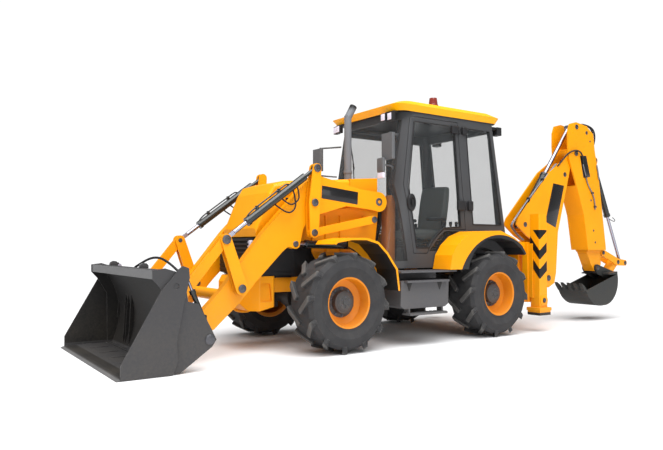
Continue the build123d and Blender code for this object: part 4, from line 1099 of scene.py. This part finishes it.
# ---- stabilisers
LEG_PIN, BOSS_FACES = (-811, 390), (1000, 1008)
for side, name in SIDE_NAMES:
    boss = cut_plate([(-868, 325), (-754, 325), (-740, 390), (-760, 452), (-862, 452),
                      (-882, 390)], *sorted(side * face for face in BOSS_FACES), 0.003)
    head = pin_head(LEG_PIN, side * BOSS_FACES[1], 26, 9, side)
    fit(boss, f"leg_boss_{name}", f"stabiliser_{name}", yellow)
    fit(head, f"leg_pin_{name}", f"stabiliser_{name}", pin_steel)

# ---- exhaust
PIPE_BORE = 0.044
collar = turned([(0, PIPE_BORE), (0, 0.05), (0.03, 0.05), (0.03, PIPE_BORE)],
                at(1640, 215, 1900), "Z")
cuff = turned([(0, PIPE_BORE), (0, 0.06), (0.02, 0.056), (0.03, PIPE_BORE)],
              at(1640, 215, 1790), "Z")
fit(joined([collar, cuff]), "exhaust_collars", "machine", exhaust_finish)

# ------------------------------------------------------------ camera, floor and light
CAMERA_PLACE, CAMERA_AIM = (5.3725, 6.1666, 1.0716), Vector((-0.5606, -0.8275, 0.0324))
SENSOR_WIDTH, FOCAL_LENGTH = 36, 34.79
SUN_AIM, SUN_POWER, SUN_SPREAD = Vector((-0.12, -0.3, -1)), 3.75, 75
SKY_STRENGTH, BACKDROP_EXTRA = 0.25, 0.8
FLOOR_SIZE, FLOOR_GAP = 400, 0.001
camera_data = bpy.data.cameras.new("camera")
camera = bpy.data.objects.new("camera", camera_data)
bpy.context.scene.collection.objects.link(camera)
camera_data.sensor_width = SENSOR_WIDTH
camera_data.lens = FOCAL_LENGTH
camera.location = CAMERA_PLACE
camera.rotation_euler = CAMERA_AIM.to_track_quat("-Z", "Y").to_euler()
bpy.context.scene.camera = camera

clear()
bpy.ops.mesh.primitive_plane_add(size=FLOOR_SIZE,
                                 location=(0, 0, cad_box[0][2] - FLOOR_GAP))
floor = settle(bpy.context.object)
floor.name = "studio_floor"
ground = Finish("pale_floor", Roughness=0.9)
ground.give("Base Color", ground.blend(ground.noise(4, 2) * 0.2, rgb(236, 236, 237),
                                       rgb(234, 234, 235)))
floor.data.materials.append(ground.material)


def softbox(name, place, aim, size, power):
    """A rectangular lamp that looks at a point."""
    light_data = bpy.data.lights.new(name, "AREA")
    light_data.shape = "RECTANGLE"
    light_data.size, light_data.size_y = size
    light_data.energy = power
    light = bpy.data.objects.new(name, light_data)
    bpy.context.scene.collection.objects.link(light)
    light.location = place
    light.rotation_euler = (Vector(aim) - Vector(place)).to_track_quat("-Z", "Y").to_euler()


softbox("overhead_softbox", (2.0, 2.5, 6.5), (0, 0, 0.6), (4.5, 3.5), 200)
softbox("side_softbox", (1.5, 8.5, 2.6), (0.3, 0, 0.9), (7, 2.4), 120)
softbox("front_softbox", (9.0, 1.5, 2.6), (0, 0, 1.0), (4, 2.4), 90)
sky = bpy.data.lights.new("sky_light", "SUN")
sky.energy = SUN_POWER
sky.angle = math.radians(SUN_SPREAD)
sky_lamp = bpy.data.objects.new("sky_light", sky)
bpy.context.scene.collection.objects.link(sky_lamp)
sky_lamp.rotation_euler = SUN_AIM.to_track_quat("-Z", "Y").to_euler()
world = bpy.data.worlds.new("studio")
world.use_nodes = True
air = world.node_tree
seen = air.nodes.new("ShaderNodeLightPath")
strength = air.nodes.new("ShaderNodeMath")
strength.operation = "MULTIPLY_ADD"
strength.inputs[1].default_value = BACKDROP_EXTRA
strength.inputs[2].default_value = SKY_STRENGTH
air.links.new(seen.outputs["Is Camera Ray"], strength.inputs[0])
air.links.new(strength.outputs[0], air.nodes["Background"].inputs[1])
air.nodes["Background"].inputs[0].default_value = (1, 1, 1, 1)
bpy.context.scene.world = world
bpy.context.scene.view_settings.view_transform = "Standard"
